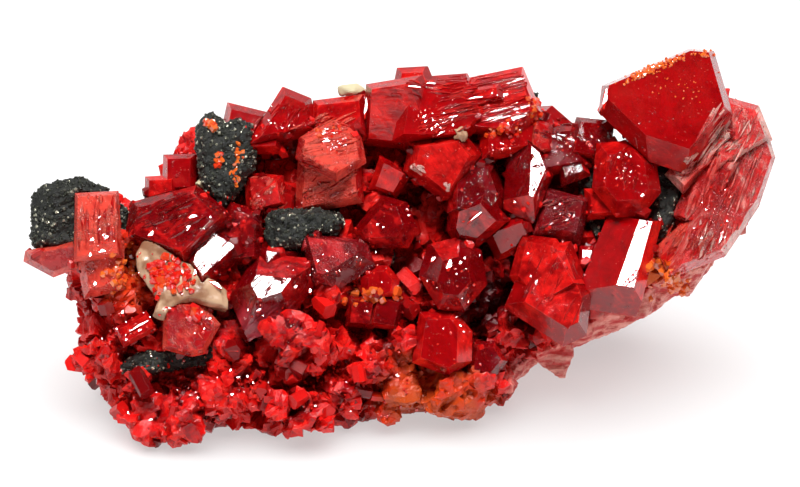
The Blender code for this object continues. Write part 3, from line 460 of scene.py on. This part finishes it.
# Sunk is how far a crystal reaches into what it grew on, in its own sizes. Bare is the share left out.
SMALL_COUNT = 3000
SMALL_SIZES = (0.3 * MM, 1.6 * MM)
SMALL_BIAS = 3.4
SMALL_SUNK = 0.7
SMALL_SEED = 11
BARE_END = on_face(22.4, 14.0)
OCHRE_BARE = 0.6
CLEAR_OF_LARGE = 0.12 * MM
CLEAR_OF_BLACK = 0.55 * MM
ANY_TURN = (0.0, 6.0)
COMPANION_DENSITY = 0.5
COMPANION_SIZES = (0.22 * MM, 1.1 * MM)
COMPANION_BIAS = 2.4
COMPANION_SUNK = 0.12
COMPANION_REACH = 0.8 * MM
FRONT_BARE = 0.7
FRONT_MOST = 0.45 * MM
chance = np.random.default_rng(SMALL_SEED)


def small_form(slant, bluntness, lean=0.1):
    """A unit crystal: a four-sided prism with blunted edges and a slanting end, as points and faces."""
    bm = bmesh.new()
    bmesh.ops.create_cube(bm, size=2.0)
    cuts = [(Vector((math.cos(a), math.sin(a), 0.0)), bluntness) for a in (0.58, 2.56, 3.72, 5.70)]
    cuts += [(Vector((math.sin(slant), lean, math.cos(slant))), 0.78), (Vector((-0.6, 0.25, 0.75)), 0.86),
             (Vector((0.2, -0.7, 0.68)), 0.88)]
    for way, reach in cuts:
        way.normalize()
        every = bm.verts[:] + bm.edges[:] + bm.faces[:]
        cut = bmesh.ops.bisect_plane(bm, geom=every, plane_co=way * reach, plane_no=way, clear_outer=True)
        rim = [e for e in cut["geom_cut"] if isinstance(e, bmesh.types.BMEdge)]
        if rim:
            bmesh.ops.edgeloop_fill(bm, edges=rim)
    bmesh.ops.recalc_face_normals(bm, faces=bm.faces[:])
    bm.verts.index_update()
    points = np.array([v.co for v in bm.verts])
    faces = [[v.index for v in face.verts] for face in bm.faces]
    bm.free()
    return points, faces


def nearby(things):
    """A tree to find the nearest surface of several objects."""
    points, faces = [], []
    for thing in things:
        start = len(points)
        points += [v.co for v in thing.data.vertices]
        faces += [[start + i for i in p.vertices] for p in thing.data.polygons]
    return BVHTree.FromPolygons(points, faces)


def spots_on(thing, count):
    """Places spread evenly over a surface, with the way each of them faces."""
    mesh = thing.data
    areas = np.zeros(len(mesh.polygons))
    mesh.polygons.foreach_get("area", areas)
    picked = chance.choice(len(areas), count, p=areas / areas.sum())
    return [(mesh.polygons[int(i)].center.copy(), mesh.polygons[int(i)].normal.copy()) for i in picked]


def varied(sizes, bias):
    """A size in a range. The higher the bias, the more of them are small."""
    return sizes[0] + (sizes[1] - sizes[0]) * chance.random() ** bias


def upright(axis, roll):
    """The way a crystal lies, from its long axis and its turn round that."""
    return axis.to_track_quat("Z", "Y").to_matrix() @ Matrix.Rotation(roll, 3, "Z")


def spots_within(thing, count):
    """Places spread evenly over a surface with large faces, with the way each of them faces."""
    mesh = thing.data
    mesh.calc_loop_triangles()
    corners = np.array([v.co for v in mesh.vertices])
    triangles = np.array([t.vertices for t in mesh.loop_triangles])
    areas = np.array([t.area for t in mesh.loop_triangles])
    spots = []
    for i in chance.choice(len(areas), count, p=areas / areas.sum()):
        weights = chance.dirichlet((1.0, 1.0, 1.0))
        spots.append((Vector(weights @ corners[triangles[i]]), Vector(mesh.loop_triangles[int(i)].normal)))
    return spots


def gathered(name, grown, forms):
    """One mesh of many crystals: form, place, turn, size and tone each. Tone becomes an attribute."""
    points, faces, tones, start = [], [], [], 0
    for form, spot, turned, size, tone in grown:
        unit, sides = forms[form]
        placed = (unit * size) @ np.array(turned).T + np.array(spot)
        if (placed < cad_box[0]).any() or (placed > cad_box[1]).any():
            continue
        points.append(placed)
        faces += [[start + i for i in side] for side in sides]
        tones += [tone] * len(unit)
        start += len(unit)
    mesh = bpy.data.meshes.new(name)
    mesh.from_pydata(np.concatenate(points).tolist(), [], faces)
    mesh.attributes.new("tone", "FLOAT", "POINT").data.foreach_set("value", tones)
    made = bpy.data.objects.new(name, mesh)
    bpy.context.scene.collection.objects.link(made)
    return made


forms = [small_form(0.45, 0.78), small_form(0.15, 0.85), small_form(0.7, 0.72), small_form(0.3, 0.92)]
large = nearby([nodes[name] for name in nodes if name != "ore"])
black_parts = nearby([nodes[name] for name in nodes if name.startswith("black")])
grown = []
for spot, normal in spots_on(ore, SMALL_COUNT * 2):
    surface, way, _, _ = large.find_nearest(spot)
    buried = (spot - surface).dot(way) < CLEAR_OF_LARGE or black_parts.find_nearest(spot)[3] < CLEAR_OF_BLACK
    bare = is_broken(spot, -0.3 * MM) or (spot - PURPLE_FACE[0]).length < 3.0 * MM
    bare = bare or (spot - BARE_END).dot(ACROSS) > 0
    if buried or bare or spot.z < 0.3 * MM or len(grown) == SMALL_COUNT:
        continue
    if (spot - OCHRE[0]).length < OCHRE[1] and chance.random() < OCHRE_BARE:
        continue
    side = varied(SMALL_SIZES, SMALL_BIAS)
    size = np.array((1.0, chance.uniform(0.6, 1.0), chance.uniform(0.8, 1.7))) * side / 2
    drift = Vector(noise.noise_vector(spot / (3.5 * MM))) * 1.1 + Vector(chance.normal(0, 0.25, 3))
    axis = (normal * 0.9 + drift).normalized()
    roll = 3.0 * noise.noise(spot / (5.0 * MM)) + chance.normal(0, 0.2)
    spot = spot - axis * size[2] * SMALL_SUNK
    grown.append((int(chance.integers(len(forms))), spot, upright(axis, roll), size, float(chance.random())))
small = gathered("small_crystals", grown, forms)


def small_finish():
    f = Finish(bpy.data.materials.new("small realgar"))
    tone = f.tone()
    patches = f.cloud(3.0 * MM, 3.0)
    light = f.step(tone * 0.7 + patches * 0.7, 0.40, 1.0)
    body = f.mix(light, (0.18, 0.001, 0.002), (0.86, 0.010, 0.008))
    body = ore_colour(f, body)
    edges, rounded = f.edge_wear_and_highlight(0.05 * MM)
    # Pale edges: partly wear, partly a painted edge highlight
    body = f.mix(edges * 0.12, body, (1.0, 0.10, 0.06))
    relief = f.cloud(0.13 * MM, 4.0, 0.7) + f.cells(0.3 * MM) * 0.6
    normal = f.bump(relief, 0.05 * MM, 0.6, rounded)
    roughness = 0.04 + f.step(tone, 0.3, 1.0) * 0.12
    return f.done(f.surface(Base_Color=body, Roughness=roughness, IOR=1.45, Normal=normal))


small_realgar = small_finish()
dress(small, small_realgar)
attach(small, "root")

# Companions grew along the seams where large crystals meet, and few of them on the faces to the front
companions = []
for name in DEEP + DARK + BRIGHT + ORANGE_RED + FROSTED + PINK:
    host = nodes[name]
    others = nearby([nodes[other] for other in nodes if other != name])
    share = sum(p.area for p in host.data.polygons) / MM ** 2 * COMPANION_DENSITY
    for spot, normal in spots_within(host, int(share)):
        apart = others.find_nearest(spot)[3]
        front = normal.dot(OUT) > 0.55
        if apart > COMPANION_REACH or front and chance.random() < FRONT_BARE or normal.dot(MIRROR) > 0.99:
            continue
        side = varied(COMPANION_SIZES, COMPANION_BIAS)
        if front:
            side = min(side, FRONT_MOST)
        size = np.array((1.0, chance.uniform(0.6, 1.0), chance.uniform(0.8, 1.5))) * side / 2
        axis = (normal + Vector(chance.normal(0, 0.45, 3))).normalized()
        turned = upright(axis, chance.uniform(*ANY_TURN))
        spot = spot - normal * side * COMPANION_SUNK
        companions.append((int(chance.integers(len(forms))), spot, turned, size, float(chance.random())))
company = gathered("companion_crystals", companions, forms)
dress(company, small_realgar)
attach(company, "root")


# The growth ridges
# Thin parallel blades stand a little proud of some faces, where a crystal grew in steps. Each row is the
# finish, the middle of the patch across and up, its half width and height, and the blades' turn, number and
# greatest length.

RIDGES = (
    ("deep realgar", 6.2, 24.0, 3.0, 1.6, 17, 90, 4.0), ("deep realgar", 1.2, 24.6, 1.6, 0.5, -4, 20, 2.0),
    ("deep realgar", 3.0, 21.6, 2.2, 1.0, 28, 24, 2.4), ("orange realgar", -5.0, 19.8, 2.0, 2.8, 22, 80, 3.0),
    ("pink realgar", 23.2, 18.6, 1.7, 4.2, 62, 90, 5.0), ("pink realgar", 21.0, 15.0, 1.2, 2.0, 60, 24, 3.0),
    ("orange realgar", 20.0, 13.8, 1.6, 1.2, 48, 22, 2.0),
    ("orange realgar", -21.1, 15.4, 1.3, 1.8, 86, 40, 2.6),
    ("dark realgar", -16.4, 15.6, 2.6, 1.4, 24, 34, 2.6),
    ("orange realgar", -14.6, 7.8, 1.6, 1.6, -58, 26, 1.8),
    ("bright realgar", 10.8, 10.6, 2.2, 3.0, 66, 22, 2.4),
    ("orange realgar", -9.3, 17.2, 1.2, 1.2, 40, 24, 1.4),
    ("frosted realgar", 11.2, 15.9, 1.1, 1.1, 12, 26, 1.5),
    ("dark realgar", -8.8, 8.4, 1.7, 1.4, 38, 40, 2.0),
    ("bright realgar", 15.4, 19.2, 1.4, 1.8, 70, 20, 1.4), ("dark realgar", 9.2, 18.4, 1.2, 1.6, 80, 14, 1.4),
    ("pink realgar", 20.8, 19.2, 0.9, 0.6, 40, 16, 1.8),
    ("pink realgar", 22.9, 21.1, 0.9, 0.6, 40, 16, 1.8), ("pink realgar", 1.4, 19.0, 0.5, 0.3, -32, 7, 1.5),
    ("pink realgar", 3.2, 17.6, 0.2, 0.3, 70, 5, 0.9), ("orange realgar", 20.4, 14.0, 1.2, 0.8, 50, 24, 2.4),
    ("dark realgar", 11.0, 22.0, 1.6, 1.0, -20, 16, 1.2), ("deep realgar", -8.2, 22.6, 2.2, 0.8, 48, 20, 1.6),
)
BLADE_WIDTHS = (0.10, 0.34)
BLADE_LIFT = (0.03, 0.12)
BLADE_DEPTH = 0.4
BLADE_SUNK = 0.16
flat_form = [small_form(0.0, 0.9, 0.0)]
whole = nearby([nodes[name] for name in nodes])


def seen_at(across, up):
    """The place on the crystals that lies straight behind a place on the face, and the way it faces."""
    return whole.ray_cast(on_face(across, up, 40.0), -OUT)[:2]


def lying(along, normal):
    """The turn of a flat piece whose long side runs along and whose broad face looks along normal."""
    along = (along - normal * along.dot(normal)).normalized()
    return Matrix((along, normal.cross(along), normal)).transposed()


blades = {}
for kind, across, up, wide, high, turn, count, longest in RIDGES:
    for _ in range(count):
        spot, normal = seen_at(across + chance.uniform(-1, 1) * wide, up + chance.uniform(-1, 1) * high)
        length = chance.uniform(0.25, 1.0) * longest
        way = math.radians(turn + chance.normal(0, 2.5))
        along = ACROSS * math.cos(way) + UP * math.sin(way)
        if spot is None or normal.dot(OUT) < 0.4:
            continue
        turned = lying(along, (normal + Vector(chance.normal(0, 0.06, 3))).normalized())
        for _ in range(4):
            ends = [spot + turned.col[0] * side * length * MM / 2 for side in (-1, 1)]
            if all((whole.find_nearest(end)[0] - end).length < BLADE_SUNK * MM for end in ends):
                break
            length *= 0.6
        size = np.array((length, chance.uniform(*BLADE_WIDTHS), BLADE_DEPTH)) * MM / 2
        spot = spot + normal * (chance.uniform(*BLADE_LIFT) - BLADE_SUNK) * MM
        blades.setdefault(kind, []).append((0, spot, turned, size, 0.5))
for kind, laid in blades.items():
    ridges = gathered(kind.replace(" ", "_") + "_ridges", laid, flat_form)
    dress(ridges, realgar[kind])
    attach(ridges, "root")


# The black sulphide
# Black granular lumps that the crystals grew round, so they sit fast in the ore. They are dull, with fine
# glittering grains.

BLACK_CELL = 0.16 * MM
BLACK_BUMPS = ((0.9 * MM, 0.22 * MM), (0.3 * MM, 0.14 * MM))
GRIT_SIZES = (0.10 * MM, 0.28 * MM)
GRIT_DENSITY = 11.0 / MM ** 2
BLACK = ("black_knob", "black_pillar", "black_bar", "black_seam", "black_core", "black_pocket", "black_wall",
         "black_crown_spot")


def black_finish(name, low, high, gloss):
    f = Finish(bpy.data.materials.new(name))
    grain = f.grain(0.16 * MM)
    tone = f.tone()
    body = f.mix(grain * f.cloud(0.9 * MM, 3.0) * 1.6, low, high)
    # A share of the grains is pale and metallic: metallic flecks, their pale colour partly a painted glint
    bright = f.step(tone, 0.78, 0.88)
    body = f.mix(bright, body, (0.55, 0.54, 0.42))
    normal = f.bump(f.cloud(0.14 * MM, 4.0, 0.7), 0.08 * MM)
    roughness = gloss + grain * 0.3
    return f.done(f.surface(Base_Color=body, Roughness=roughness, IOR=1.5, Normal=normal,
                            Metallic=bright * 0.8))


black = black_finish("black sulphide", (0.0015, 0.0016, 0.0012), (0.02, 0.022, 0.015), 0.4)
glitter = black_finish("glittering sulphide", (0.001, 0.0012, 0.0009), (0.075, 0.08, 0.055), 0.10)
grit = [small_form(0.3, 0.9), small_form(0.6, 0.8)]
for node in BLACK:
    lump = fine_copy(node, node + "_grains", BLACK_CELL)
    roughen(lump, BLACK_BUMPS)
    dress(lump, black)
    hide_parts(node)
    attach(lump, "root")
    area = sum(p.area for p in lump.data.polygons)
    grains = []
    for spot, normal in spots_on(lump, int(area * GRIT_DENSITY)):
        axis = (normal + Vector(chance.normal(0, 0.8, 3))).normalized()
        size = np.array((1.0, 0.9, 0.8)) * chance.uniform(*GRIT_SIZES) / 2
        form = int(chance.integers(len(grit)))
        turned = upright(axis, chance.uniform(*ANY_TURN))
        grains.append((form, spot, turned, size, float(chance.random())))
    cover = gathered(node + "_glitter", grains, grit)
    dress(cover, glitter)
    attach(cover, "root")


# The calcite
# Tan and cream calcite that filled gaps between the crystals last, and grew fast to them. It is waxy, in soft
# rounded forms.

CALCITE = ("tan_calcite_star", "cream_calcite_knob", "pale_calcite_fleck", "pale_calcite_edge")
CALCITE_CELL = 0.10 * MM
CALCITE_BUMPS = ((0.9 * MM, 0.10 * MM), (0.4 * MM, 0.04 * MM))
CREAM = ((on_face(-3.4, 24.4, -2.6), 2.0 * MM), (on_face(-14.0, 17.2, -0.4), 1.6 * MM))


def calcite_finish():
    f = Finish(bpy.data.materials.new("calcite"))
    body = f.mix(f.step(f.cloud(1.5 * MM, 3.0), 0.42, 0.6), (0.32, 0.15, 0.08), (0.62, 0.39, 0.24))
    cream = f.near(*CREAM[0]) + f.near(*CREAM[1])
    body = f.mix(cream * 0.8, body, (0.72, 0.66, 0.42))
    body = f.mix(f.step(f.cells(0.5 * MM), 0.0, 0.12), (0.25, 0.10, 0.05), body)
    normal = f.bump(f.cloud(0.3 * MM, 3.0), 0.05 * MM, 0.5)
    return f.done(f.surface(Base_Color=body, Roughness=0.3, Normal=normal))


calcite = calcite_finish()
for node in CALCITE:
    lump = fine_copy(node, node + "_wax", CALCITE_CELL)
    roughen(lump, CALCITE_BUMPS)
    dress(lump, calcite)
    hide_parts(node)
    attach(lump, "root")


# The bits on the crystals
# Small crystals and crumbs that grew on the other pieces: red ones on the calcite star, orange ones on the
# black pillar and along the top of the largest crystal. Each patch is across, up, half width, half height,
# turn, count, smallest and largest bit, and how orange it is.

BITS = (
    (-16.3, 11.5, 1.5, 1.1, 0, 90, 0.25, 0.7, 0.2),
    (-14.9, 11.0, 1.0, 0.4, -60, 12, 0.25, 0.5, 0.3),
    (-14.2, 8.8, 0.8, 0.6, 0, 14, 0.3, 0.7, 0.2),
    (-19.2, 11.6, 1.0, 1.6, 10, 70, 0.25, 0.6, 0.8),
    (-13.2, 22.2, 0.45, 0.4, 0, 10, 0.3, 0.7, 0.7),
    (-12.6, 19.6, 0.5, 0.4, 40, 12, 0.25, 0.5, 0.5),
    (-11.3, 19.4, 0.4, 1.6, -10, 34, 0.2, 0.4, 0.9),
    (17.3, 25.8, 1.6, 0.35, 24, 120, 0.10, 0.30, 1.0),
    (19.6, 26.7, 1.6, 0.2, 14, 40, 0.08, 0.22, 0.9),
    (21.3, 26.9, 0.8, 0.2, 2, 14, 0.12, 0.35, 1.0),
    (19.6, 24.6, 2.2, 1.4, 0, 26, 0.07, 0.16, 0.9),
    (18.6, 11.2, 1.5, 1.0, -35, 40, 0.3, 0.8, 1.0),
    (7.4, 21.6, 1.3, 0.6, 10, 26, 0.2, 0.5, 0.4),
    (9.4, 23.2, 0.6, 0.9, 0, 20, 0.2, 0.5, 0.5),
    (-5.0, 21.5, 1.2, 0.6, 10, 18, 0.2, 0.45, 0.3),
    (-2.0, 10.0, 2.6, 0.6, 0, 30, 0.3, 0.8, 0.6),
)
bits = []
for across, up, wide, high, turn, count, least, most, orange in BITS:
    patch = Matrix.Rotation(math.radians(turn), 2)
    for _ in range(count):
        shift = patch @ Vector((chance.normal(0, 0.5) * wide, chance.normal(0, 0.5) * high))
        spot, normal = seen_at(across + shift.x, up + shift.y)
        if spot is None:
            continue
        axis = (normal + Vector(chance.normal(0, 0.5, 3))).normalized()
        side = chance.uniform(least, most) * MM
        size = np.array((1.0, chance.uniform(0.6, 1.0), chance.uniform(0.7, 1.4))) * side / 2
        form = int(chance.integers(len(forms)))
        turned = upright(axis, chance.uniform(*ANY_TURN))
        bits.append((form, spot, turned, size, orange * 0.6 + chance.uniform(0, 0.4)))
scattered = gathered("bits", bits, forms)


def bits_finish():
    f = Finish(bpy.data.materials.new("orange and red bits"))
    tone = f.tone()
    body = f.mix(f.step(tone, 0.2, 0.9), (0.75, 0.008, 0.006), (0.90, 0.17, 0.02))
    normal = f.bump(f.cloud(0.2 * MM, 3.0), 0.05 * MM, 0.6)
    return f.done(f.surface(Base_Color=body, Roughness=0.15, IOR=2.0, Normal=normal))


dress(scattered, bits_finish())
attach(scattered, "root")


# The bright small faces
# Small flat crystal faces that happen to lie as the white facets do, so that they catch the soft box. Each of
# the larger ones is across, up, width, height and turn.

GLINTS = (
    (-14.5, 15.6, 0.70, 0.28, 10), (-14.8, 14.8, 0.50, 0.26, 50), (-17.4, 14.4, 0.30, 0.55, -30),
    (-16.4, 12.5, 0.20, 0.35, 0), (-12.9, 10.9, 1.15, 0.28, -40), (-14.3, 11.7, 0.25, 0.45, 0),
    (-19.3, 9.0, 0.45, 0.95, -8), (-18.3, 7.9, 1.9, 0.13, 33), (-9.9, 9.1, 0.40, 0.35, 0),
    (-6.3, 10.4, 0.25, 0.45, 20), (-7.3, 10.7, 0.25, 0.30, -30), (-17.4, 1.5, 0.35, 0.50, 0),
    (-18.1, 1.1, 0.40, 0.28, -30), (-16.4, 1.0, 0.12, 0.5, 10), (-16.9, 4.1, 0.28, 0.25, 0),
    (-21.2, 6.3, 0.35, 0.15, -20), (-5.3, 20.9, 0.80, 0.35, 0), (-2.4, 23.1, 0.20, 1.7, -5),
    (0.9, 24.6, 1.1, 0.12, -8), (2.1, 24.9, 0.8, 0.12, -10), (5.2, 23.8, 1.2, 0.12, 8),
    (7.3, 24.1, 0.60, 0.22, 20), (8.5, 23.5, 0.30, 0.30, 0), (5.3, 15.5, 1.6, 0.11, 42),
    (2.3, 12.6, 0.50, 0.25, 45), (3.4, 12.2, 0.42, 0.85, -10), (4.2, 12.4, 0.22, 0.30, 0),
    (4.5, 12.7, 0.15, 0.2, 0), (16.9, 17.1, 0.30, 0.25, 0), (7.3, 7.8, 0.25, 0.30, 0),
    (14.3, 23.7, 0.32, 1.5, -8), (-20.9, 14.8, 0.4, 0.3, 30), (-20.5, 14.2, 0.3, 0.5, 10),
    (-21.5, 14.0, 0.3, 0.35, -20), (-20.8, 13.2, 0.55, 0.25, 0), (-21.0, 15.6, 0.25, 0.3, 0),
    (-21.6, 12.9, 0.2, 0.4, 0), (-21.3, 10.9, 0.28, 0.35, 0), (-21.6, 10.0, 0.25, 0.3, 30),
)
# Places where many tiny faces sparkle: across, up, half width, half height and count
SPARKLES = (
    (2.3, 22.3, 1.3, 0.9, 90), (7.0, 20.5, 0.9, 0.5, 30), (-5.2, 21.6, 1.2, 0.8, 50),
    (-4.2, 20.7, 0.7, 0.6, 30), (11.2, 15.9, 0.9, 0.9, 24), (19.5, 11.6, 0.8, 0.8, 40),
    (-20.9, 14.4, 0.7, 1.2, 30), (-13.4, 8.0, 1.2, 1.4, 30), (8.2, 22.4, 0.8, 0.8, 40),
    (22.6, 17.0, 1.2, 2.6, 60), (-8.8, 8.6, 1.6, 0.8, 30), (-14.0, 3.6, 5.0, 1.6, 240),
    (-4.0, 3.6, 5.6, 1.8, 200), (11.0, 11.0, 2.0, 2.2, 12), (15.6, 18.6, 1.4, 1.6, 40),
    (-19.0, 9.0, 3.0, 4.0, 160), (-4.0, 12.0, 5.0, 2.0, 60), (22.0, 14.0, 1.6, 2.0, 30),
    (12.0, 21.0, 2.0, 1.6, 30), (4.0, 9.0, 2.6, 3.4, 60), (6.2, 24.0, 2.6, 1.2, 50),
    (-11.5, 16.5, 2.0, 1.6, 30), (-9.0, 22.0, 2.4, 1.2, 24), (0.0, 17.0, 8.0, 3.0, 60),
)
SPARKLE_SPREAD = 0.12
SPARKLE_SIZES = (0.07, 0.24)
PLATE_DEPTH = 0.3
PLATE_LIFT = 0.3
PLATE_SUNK = 0.08
plates = []


def plate(across, up, width, height, turn, facing):
    """A small flat crystal on whatever lies there, lifted clear of it where the two don't lie alike."""
    spot, normal = seen_at(across, up)
    if spot is None:
        return
    turned = lying(ACROSS * math.cos(math.radians(turn)) + UP * math.sin(math.radians(turn)), facing)
    slant = math.sqrt(max(0.0, 1.0 - normal.dot(facing) ** 2))
    lift = PLATE_LIFT * max(width, height) * slant * MM
    size = np.array((width, height, PLATE_DEPTH)) * MM / 2
    plates.append((0, spot + facing * (lift - PLATE_SUNK * MM), turned, size, 0.2))


for across, up, width, height, turn in GLINTS:
    plate(across, up, width, height, turn, MIRROR)
for across, up, wide, high, count in SPARKLES:
    for _ in range(count):
        way = (MIRROR + Vector(chance.normal(0, SPARKLE_SPREAD, 3))).normalized()
        size = chance.uniform(*SPARKLE_SIZES)
        plate(across + chance.normal(0, 0.5) * wide, up + chance.normal(0, 0.5) * high, size,
              size * chance.uniform(0.5, 1.0), chance.uniform(0, 180), way)


def plate_finish():
    f = Finish(bpy.data.materials.new("bright small faces"))
    body = f.mix(f.cloud(0.8 * MM, 2.0), (0.55, 0.006, 0.006), (0.9, 0.03, 0.015))
    normal = f.bump(f.fibres(0.14 * MM, 0.1), 0.03 * MM, 0.35)
    return f.done(f.surface(Base_Color=body, Roughness=0.05, IOR=2.0, Normal=normal))


glints = gathered("bright_small_faces", plates, flat_form)
dress(glints, plate_finish())
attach(glints, "root")


# The table, the light and the camera
# A white table that glows a little and fills the view, one soft box high in front, a room that is dark behind
# the camera, and a camera that looks straight at the crystal-covered face from 0.8 m.

TABLE_HALF = 1.5
TABLE_GLOW = 0.50
floor_mesh = bpy.data.meshes.new("table")
corners = [(x * TABLE_HALF, y * TABLE_HALF, 0.0) for x, y in ((-1, -1), (1, -1), (1, 1), (-1, 1))]
floor_mesh.from_pydata(corners, [], [(0, 1, 2, 3)])
table = bpy.data.objects.new("table", floor_mesh)
table.location.z = -0.02 * MM
bpy.context.scene.collection.objects.link(table)
white = Finish(bpy.data.materials.new("white table"))
paper = white.surface(Base_Color=(0.35, 0.35, 0.35), Roughness=0.9, Emission_Color=(1.0, 1.0, 1.0),
                      Emission_Strength=TABLE_GLOW)
dress(table, white.done(paper))

BEHIND_CAMERA, BEHIND_STONE = 0.03, 0.6
room = Finish(bpy.data.worlds.new("dim room"), "Generated")
towards = room.moved(tuple(OUT), "DOT_PRODUCT", output="Value")
bright = BEHIND_STONE + (BEHIND_CAMERA - BEHIND_STONE) * room.step(towards, -0.05, 0.35)
light = room.node("ShaderNodeBackground", None, {"Strength": bright})
bpy.context.scene.world = room.done(light, kind="World")

LOOK_AT = on_face(0.0, 13.755)
KEY_LIGHT = 58.0
KEY_SIZE = 0.11
KEY_AWAY = 0.4
key_way = (UP * math.sin(KEY_TILT) + OUT * math.cos(KEY_TILT)).normalized()
key_lamp = bpy.data.lights.new("soft box", "AREA")
key_lamp.size = KEY_SIZE
key_lamp.energy = KEY_LIGHT * math.pi * KEY_SIZE ** 2
key = bpy.data.objects.new("soft box", key_lamp)
key.location = LOOK_AT + key_way * KEY_AWAY
key.rotation_euler = key_way.to_track_quat("Z", "Y").to_euler()
bpy.context.scene.collection.objects.link(key)

# The table has a soft light of its own, so the stone's shadow on it is faint and close, and the soft box adds
# no second one.
TABLE_LIGHT = 4.0
TABLE_LIGHT_SIZE = 0.8
TABLE_LIGHT_HEIGHT = 0.45
sky_lamp = bpy.data.lights.new("table light", "AREA")
sky_lamp.size = TABLE_LIGHT_SIZE
sky_lamp.energy = TABLE_LIGHT * math.pi * TABLE_LIGHT_SIZE ** 2
sky = bpy.data.objects.new("table light", sky_lamp)
sky.location = (0.0, 0.0, TABLE_LIGHT_HEIGHT)
bpy.context.scene.collection.objects.link(sky)
only_table = bpy.data.collections.new("only the table")
only_table.objects.link(table)
sky.light_linking.receiver_collection = only_table
all_but_table = bpy.data.collections.new("all but the table")
all_but_table.objects.link(table)
all_but_table.collection_objects[0].light_linking.link_state = "EXCLUDE"
key.light_linking.receiver_collection = all_but_table

# The camera stands 0.8 m away, and its picture is 56 mm wide at the stone
CAMERA_AWAY = 0.8
PICTURE_WIDTH = 56 * MM
lens = bpy.data.cameras.new("camera")
lens.sensor_width = 36.0
lens.lens = lens.sensor_width * CAMERA_AWAY / PICTURE_WIDTH
lens.clip_start = 0.01
camera = bpy.data.objects.new("camera", lens)
camera.location = LOOK_AT + OUT * CAMERA_AWAY
camera.rotation_euler = OUT.to_track_quat("Z", "Y").to_euler()
bpy.context.scene.collection.objects.link(camera)
bpy.context.scene.camera = camera
bpy.context.scene.view_settings.view_transform = "Standard"
